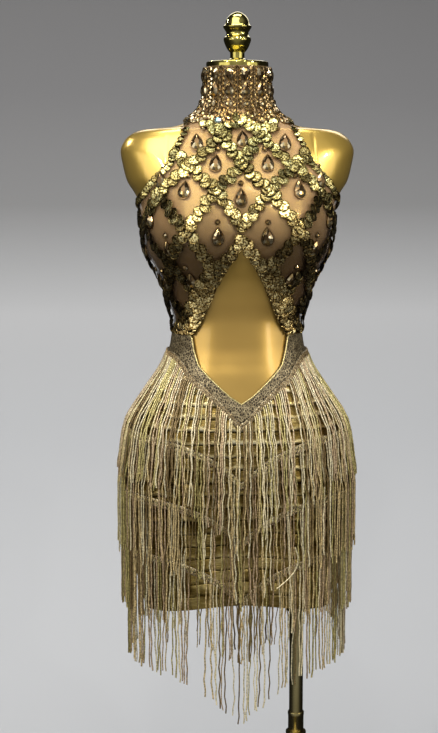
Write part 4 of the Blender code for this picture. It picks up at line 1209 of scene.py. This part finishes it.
skirtFront = makeSkirtPanel("skirtFront", "skirt_front", 0.0, 21)
skirtBack = makeSkirtPanel("skirtBack", "skirt_back", math.pi, 22)
print("band and skirt made")

# Fringe
fringe = {
    "tiers": [      # the root's heights; shares left out in front and behind; spread of lengths
        {"name": "fringeOne", "node": "fringe_tier_one", "front": 0.9400, "side": 1.0380, "back": 1.0310,
         "strands": 196, "thinned": 0.30, "ragged": 0.10, "sideShort": 0.05, "radius": 0.00120},
        {"name": "fringeTwo", "node": "fringe_tier_two", "front": 0.8530, "side": 0.9250, "back": 0.9000,
         "strands": 190, "thinned": 0.30, "ragged": 0.09, "sideShort": 0.05, "radius": 0.00120},
        {"name": "fringeThree", "node": "fringe_tier_three", "front": 0.7595, "side": 0.8300, "back": 0.8050,
         "strands": 186, "thinned": 0.50, "ragged": 0.06, "sideShort": 0.05, "radius": 0.00120},
        {"name": "fringeFour", "node": "fringe_tier_four", "front": 0.6660, "side": 0.7380, "back": 0.7110,
         "strands": 164, "thinned": 0.26, "ragged": 0.045, "sideShort": 0.10, "radius": 0.00122,
         "backThinned": 0.5},
    ],
    "thinReach": 0.7,      # radians from the front that are thinned
    "length": 0.192, "radiusSpread": 0.22, "grip": (0.10, 0.65), "groupSizes": (1, 1, 2, 2, 3, 3, 4),
    "drift": 0.004, "groupStray": 0.4, "girth": 1.08, "girthRadius": 0.15, "groupPart": 0.5, "ownPart": 0.6,
    "toneShares": (24, 15, 16, 18, 18, 9), "toneKept": 0.6,      # share of cords in their group's tone
    "clear": 0.0072, "layerStep": 0.0045, "layerLead": 0.016, "layerBlend": 0.050, "slope": 1.05,
    "rootSteps": 720, "rootOffset": 0.005, "bandCover": 0.006,
    "shares": [
        0.0, 0.01, 0.022, 0.04, 0.06, 0.08, 0.13, 0.20, 0.28, 0.37, 0.46, 0.56, 0.66, 0.76, 0.86, 0.94, 1.0],
    "hookReach": 0.0032, "hookLength": 0.0065, "hookFront": 0.25,      # none at the very front
    "wander": (0.0004, 0.0024), "wanderRate": 6.9, "wave": 0.0011, "waveRate": 150, "waveGrowth": 4,
    "sway": 0.0005, "swayRate": 120, "layer": (-0.0006, 0.0014), "layerGrowth": 5, "pullPower": 1.2,
    "leastRadius": 0.08, "steepAbove": 0.006, "steepReach": 0.002, "lookAhead": 0.08,
    "headingHeight": 0.0120, "headingSeat": 0.0050, "headingThick": 0.0016, "headingGrid": (220, 3),
    "headingLines": [(0.22, 0.16, 0.0, 0), (0.50, 0.30, 2.1, 2), (0.78, 0.18, 4.2, 3)],
    "headingSteps": 1000, "headingWaves": 172, "headingLift": 0.0004, "headingRadius": 0.0006,
    "headingWeight": 0.8, "firstHeadingTone": 4,
    "loosePlaces": [      # degrees from the front, height
        (37.0, 0.7560), (39.0, 0.7420), (39.0, 0.7280), (37.0, 0.7160), (33.5, 0.7060), (29.5, 0.6980),
        (26.0, 0.6920),
    ],
    "looseOffset": 0.0300, "looseTone": 1,
}


def rootHeight(angle, front, side, back):
    if math.cos(angle) > 0:
        arc = abs(bodyRadius(angle, side) * math.sin(angle))
        rise = side - front
        reach = 1 - math.exp(-arc * fringe["slope"] / rise)
        full = 1 - math.exp(-sectionValue(side, 1) * fringe["slope"] / rise)
        return front + rise * reach / full
    return side + (back - side) * math.cos(angle) ** 2


def tierRoot(tier, angle):      # the first tier is sewn over the waist band's lower edge
    row = fringe["tiers"][tier]
    height = rootHeight(angle, row["front"], row["side"], row["back"])
    if tier == 0:
        height = max(height, bandEdge(angle, 1) + fringe["bandCover"] * math.sin(angle) ** 2)
    return height


def strandOffset(tier, angle, height):      # a strand rides over each tier that starts below it
    covered = 0.0
    for lower in range(tier + 1, len(fringe["tiers"])):
        reach = (tierRoot(lower, angle) + fringe["layerLead"] - height) / fringe["layerBlend"] + 0.5
        reach = min(1.0, max(0.0, reach))
        covered += reach * reach * (3 - 2 * reach)
    return fringe["clear"] + fringe["layerStep"] * covered


def evenAngles(tier, count):      # angles at even distances along the tier's root
    steps = fringe["rootSteps"]
    turns = [2 * math.pi * step / steps for step in range(steps + 1)]
    line = [bodyPoint(turn, tierRoot(tier, turn), fringe["rootOffset"]) for turn in turns]
    travelled = [0.0]
    for before, after in zip(line, line[1:]):
        travelled.append(travelled[-1] + (after - before).length)
    angles = []
    index = 0
    for strand in range(count):
        target = travelled[-1] * strand / count
        while travelled[index + 1] < target:
            index += 1
        share = (target - travelled[index]) / (travelled[index + 1] - travelled[index])
        angles.append(turns[index] + (turns[index + 1] - turns[index]) * share)
    return angles


def strandPath(tier, angle, pull, length, chance):
    f = fringe
    root = tierRoot(tier, angle) - f["headingHeight"] * 0.5
    slope = (tierRoot(tier, angle + 0.02) - tierRoot(tier, angle - 0.02)) / (0.04 * bodyRadius(angle, root))
    aside = 1 - math.exp(-abs(math.sin(angle)) / f["hookFront"])
    hook = slope / math.hypot(1, slope) * f["hookReach"] * aside      # cords leave square to the heading
    phases = [chance.uniform(0, 6.3) for _ in range(3)]
    wander, layer = chance.uniform(*f["wander"]), chance.uniform(*f["layer"])
    path = []
    widest = 0.0
    for share in f["shares"]:
        fall = length * share
        height = root - fall
        side = pull * share ** f["pullPower"] + wander * share * math.sin(f["wanderRate"] * share + phases[0])
        side += f["wave"] * math.sin(fall * f["waveRate"] + phases[1]) * min(1.0, share * f["waveGrowth"])
        side += hook * (1 - math.exp(-fall / f["hookLength"]))
        here = angle + side / max(f["leastRadius"], bodyRadius(angle, height))
        level, reach = height + f["steepAbove"], f["steepReach"]
        steep = (bodyRadius(here, level + reach) - bodyRadius(here, level - reach)) / (2 * reach)
        ahead = root - length * min(1.0, share + f["lookAhead"])
        offset = strandOffset(tier, here, ahead) + layer * min(1.0, share * f["layerGrowth"])
        if share == 0.0:
            offset = f["headingSeat"] + f["headingThick"]
        widest = max(widest, bodyRadius(here, height) + offset * math.hypot(1.0, steep))
        radius = widest + f["sway"] * math.sin(fall * f["swayRate"] + phases[2]) * share
        path.append(Vector((radius * math.sin(here), -radius * math.cos(here), height)))
    return path


def headingRibbon(tier):      # the woven strip that the cords are sewn to
    def place(across, up):
        angle = 2 * math.pi * across + math.pi
        height = tierRoot(tier, angle) - fringe["headingHeight"] * (1 - up)
        return bodyPoint(angle, height, fringe["headingSeat"])

    bm = laidGrid(*fringe["headingGrid"], place)
    closeRing(bm)
    bmesh.ops.solidify(bm, geom=bm.faces, thickness=-fringe["headingThick"])
    bmesh.ops.recalc_face_normals(bm, faces=bm.faces)
    for face in bm.faces:
        face.material_index = len(cordFinishes)      # the braid comes after the cords' tones
    return smallMesh("ribbon", bm)


def headingCords(tier):      # three wavy cords over the strip: level, reach, start and tone
    paths = []
    count, lift = fringe["headingSteps"], fringe["headingLift"]
    seat = fringe["headingSeat"] + fringe["headingThick"] + lift
    for level, reach, start, tone in fringe["headingLines"]:
        points = []
        for step in range(count + 1):
            angle = 2 * math.pi * step / count
            wave = angle * fringe["headingWaves"] + start
            height = tierRoot(tier, angle) - fringe["headingHeight"] * (level + reach * math.sin(wave))
            points.append(bodyPoint(angle, height, seat + lift * math.cos(wave)))
        paths.append((points, fringe["headingWeight"], tone if tier else fringe["firstHeadingTone"]))
    return paths


def looseCord():      # one cord that has come away from its neighbours
    points = [bodyPoint(deg(angle), height, fringe["looseOffset"]) for angle, height in fringe["loosePlaces"]]
    return points, 1.0, fringe["looseTone"]


def anyTone(chance):
    return chance.choices(range(len(cordFinishes)), fringe["toneShares"])[0]


def makeTier(tier):
    row = fringe["tiers"][tier]
    name = row["name"]
    chance = random.Random(40 + tier)
    angles = evenAngles(tier, row["strands"])
    spacing = fringe["girth"] / row["strands"]
    paths = [looseCord()] if name == "fringeThree" else []
    index = 0
    while index < len(angles):
        size = chance.choice(fringe["groupSizes"])
        group = angles[index:index + size]
        stray = chance.uniform(-fringe["groupStray"], fringe["groupStray"]) * spacing / fringe["girthRadius"]
        middle = sum(group) / len(group) + stray
        grip = chance.uniform(*fringe["grip"])
        groupDrift = chance.uniform(-1, 1) * fringe["drift"]
        tone = anyTone(chance)
        groupLength = chance.uniform(-1, 1) * row["ragged"]
        index += size
        for angle in group:
            folded = math.atan2(math.sin(angle), math.cos(angle))
            if abs(folded) < fringe["thinReach"] and chance.random() < row["thinned"]:
                continue
            if abs(folded) > math.pi / 2 and chance.random() < row.get("backThinned", 0.0):
                continue
            pull = (middle - angle) * bodyRadius(angle, row["side"]) * grip + groupDrift
            own = chance.uniform(-1, 1) * row["ragged"]
            spread = groupLength * fringe["groupPart"] + own * fringe["ownPart"]
            length = fringe["length"] * (1 + spread - row["sideShort"] * math.sin(angle) ** 2)
            finish = tone if chance.random() < fringe["toneKept"] else anyTone(chance)
            thickness = 1 + chance.uniform(-1, 1) * fringe["radiusSpread"]
            paths.append((strandPath(tier, angle, pull, length, chance), thickness, finish))
    cords = curveMesh(name + "Cords", paths, row["radius"], 0)
    headings = curveMesh(name + "Heading", headingCords(tier), fringe["headingRadius"], 0)
    ribbon = headingRibbon(tier)
    bm = bmesh.new()
    for mesh in (cords, headings, ribbon):
        bm.from_mesh(mesh)
        bpy.data.meshes.remove(mesh)
    piece = finishPiece(name, bm, cordFinishes + [braidFinish], "form")
    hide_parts(row["node"])
    print(name, "cords:", len(paths))
    return piece


tierPieces = [makeTier(tier) for tier in range(4)]

# Floor, backdrop, light and camera
stage = {
    "floorSize": 6.0, "halfWidth": 4.0, "backY": 1.6, "wallHeight": 4.0, "bend": 0.8, "rows": 40,
    "wallShadeTop": 2.4,      # height where the painted shade is darkest
    "tones": [      # share of the top height, colour: painted shade, the sheet darker higher up
        (0.00, (0.54, 0.55, 0.565)), (0.28, (0.455, 0.465, 0.48)), (0.40, (0.45, 0.455, 0.465)),
        (0.52, (0.215, 0.215, 0.217)), (0.64, (0.155, 0.154, 0.157)), (0.75, (0.125, 0.124, 0.126)),
    ],
}


def seenFromBehind(finish):      # the sheet is clear from its rear, so that the back of the dress can be seen
    side = addNode(finish, "NewGeometry").outputs["Backfacing"]
    own = finish.node_tree.nodes["Principled BSDF"].outputs["BSDF"]
    clear = addNode(finish, "BsdfTransparent").outputs["BSDF"]
    either = addNode(finish, "MixShader", {0: side, 1: own, 2: clear}).outputs["Shader"]
    fillSockets(finish, finish.node_tree.nodes["Material Output"], {"Surface": either})


def makeStage():
    finish = newMaterial("paleFloor", (0.62, 0.62, 0.64), 0.0, 0.8)
    # painted shade: the floor pale, the wall darkening with height
    height = heightShare(finish, 0.0, stage["wallShadeTop"])
    setShader(finish, {"Base Color": colorRamp(finish, height, stage["tones"])})
    seenFromBehind(finish)
    bm = bmesh.new()
    bmesh.ops.create_grid(bm, x_segments=1, y_segments=stage["rows"], size=1.0)
    flat = stage["floorSize"] - stage["bend"]
    for vert in bm.verts:
        travel = (vert.co.y + 1) / 2 * (stage["floorSize"] + stage["wallHeight"])
        turn = min(max(travel - flat, 0.0) / stage["bend"], math.pi / 2)
        up = max(travel - flat - stage["bend"] * math.pi / 2, 0.0)
        y = stage["backY"] - stage["floorSize"] + min(travel, flat) + stage["bend"] * math.sin(turn)
        vert.co = Vector((vert.co.x * stage["halfWidth"], y, stage["bend"] * (1 - math.cos(turn)) + up))
    bm.normal_update()
    if sum(face.normal.z for face in bm.faces) < 0:
        bmesh.ops.reverse_faces(bm, faces=bm.faces)
    mesh = smallMesh("backdrop", bm)
    mesh.materials.append(finish)
    mesh.shade_smooth()
    backdrop = bpy.data.objects.new("backdrop", mesh)
    scene.collection.objects.link(backdrop)
    backdrop.visible_glossy = False      # the lacquer mirrors the dark room, not this sheet


makeStage()

warm, nearlyWhite, cool = (1.0, 0.97, 0.92), (1.0, 0.98, 0.95), (0.96, 0.98, 1.0)
lights = [      # name, place, aim, size, power, colour
    ("keyLight", (-0.8, -1.7, 3.5), (0, 0, 1.2), (3.0, 2.0), 74, warm),
    ("fillLight", (1.60, -2.00, 1.5), (0, 0, 1.0), (0.34, 1.6), 5, nearlyWhite),
    ("leftSoftbox", (-2.0, -1.5, 1.60), (0, 0, 1.36), (1.9, 1.2), 11, (1.0, 0.98, 0.94)),
    ("rightSoftbox", (2.0, -1.5, 1.60), (0, 0, 1.36), (1.9, 1.2), 10, (1.0, 0.98, 0.94)),
    ("topLight", (0.0, 0.2, 3.2), (0, 0, 1.1), (1.4, 0.6), 22, cool),
    ("backLight", (0.3, 1.30, 2.2), (0.3, 0, 2.2), (1.4, 0.7), 7, nearlyWhite),
]
spots = [(-1.5, -1.7, 2.3), (-0.3, -2.2, 2.6), (0.9, -1.9, 2.5), (1.4, -1.0, 2.1), (-1.4, 0.9, 2.3)]
lights += [
    ("spotLight%d" % index, place, (0, 0, 1.25), (0.09, 0.09), 5, nearlyWhite)
    for index, place in enumerate(spots)]
for name, place, aim, size, power, color in lights:
    light = bpy.data.lights.new(name, "AREA")
    light.shape = "RECTANGLE"
    light.size, light.size_y = size
    light.energy = power
    light.color = color
    lamp = bpy.data.objects.new(name, light)
    lamp.location = place
    lamp.rotation_euler = (Vector(aim) - Vector(place)).to_track_quat("-Z", "Y").to_euler()
    scene.collection.objects.link(lamp)

room = {
    "bright": (-0.10, -0.90, 0.42),      # towards the brightest part, in front and above
    "levels": [(0.45, 0.02), (0.66, 0.08), (0.79, 0.27), (0.93, 0.44), (0.99, 0.56)],
    "seen": (0.42, 0.425, 0.43, 1.0),      # pale beyond the stage where the camera looks past it
}


def makeWorld():      # bright in front and above, dark behind and below, for what the lacquer mirrors
    world = bpy.data.worlds.new("studio")
    world.use_nodes = True
    towards = addNode(world, "VectorMath")
    towards.operation = "DOT_PRODUCT"
    direction = addNode(world, "TexCoord").outputs["Generated"]
    fillSockets(world, towards, {0: direction, 1: Vector(room["bright"]).normalized()})
    spread = addNode(world, "MapRange", {"From Min": -1.0, "Value": towards.outputs["Value"]})
    stops = [(position, (level, level, level * 1.01)) for position, level in room["levels"]]
    shades = colorRamp(world, spread.outputs["Result"], stops)
    shades.node.color_ramp.interpolation = "EASE"
    seen = addNode(world, "Mix")
    seen.data_type = "RGBA"
    camera = addNode(world, "LightPath").outputs["Is Camera Ray"]
    fillSockets(world, seen, {"Factor": camera, 6: shades, 7: room["seen"]})
    fillSockets(world, world.node_tree.nodes["Background"], {"Color": seen.outputs[2], "Strength": 1.0})
    scene.world = world


makeWorld()
scene.view_settings.view_transform = "Standard"

lens = bpy.data.cameras.new("photoCamera")
lens.sensor_width = 36
lens.lens = lens.sensor_width * view["focalPixels"] / view["imageHeight"]
camera = bpy.data.objects.new("photoCamera", lens)
camera.location = view["place"]
heading = math.atan2(-view["place"][1], -view["place"][0]) + view["turnLeft"]
camera.rotation_euler = (math.pi / 2 - deg(view["tiltDown"]), 0, heading - math.pi / 2)
scene.collection.objects.link(camera)
scene.camera = camera
print("stage, light and camera set")
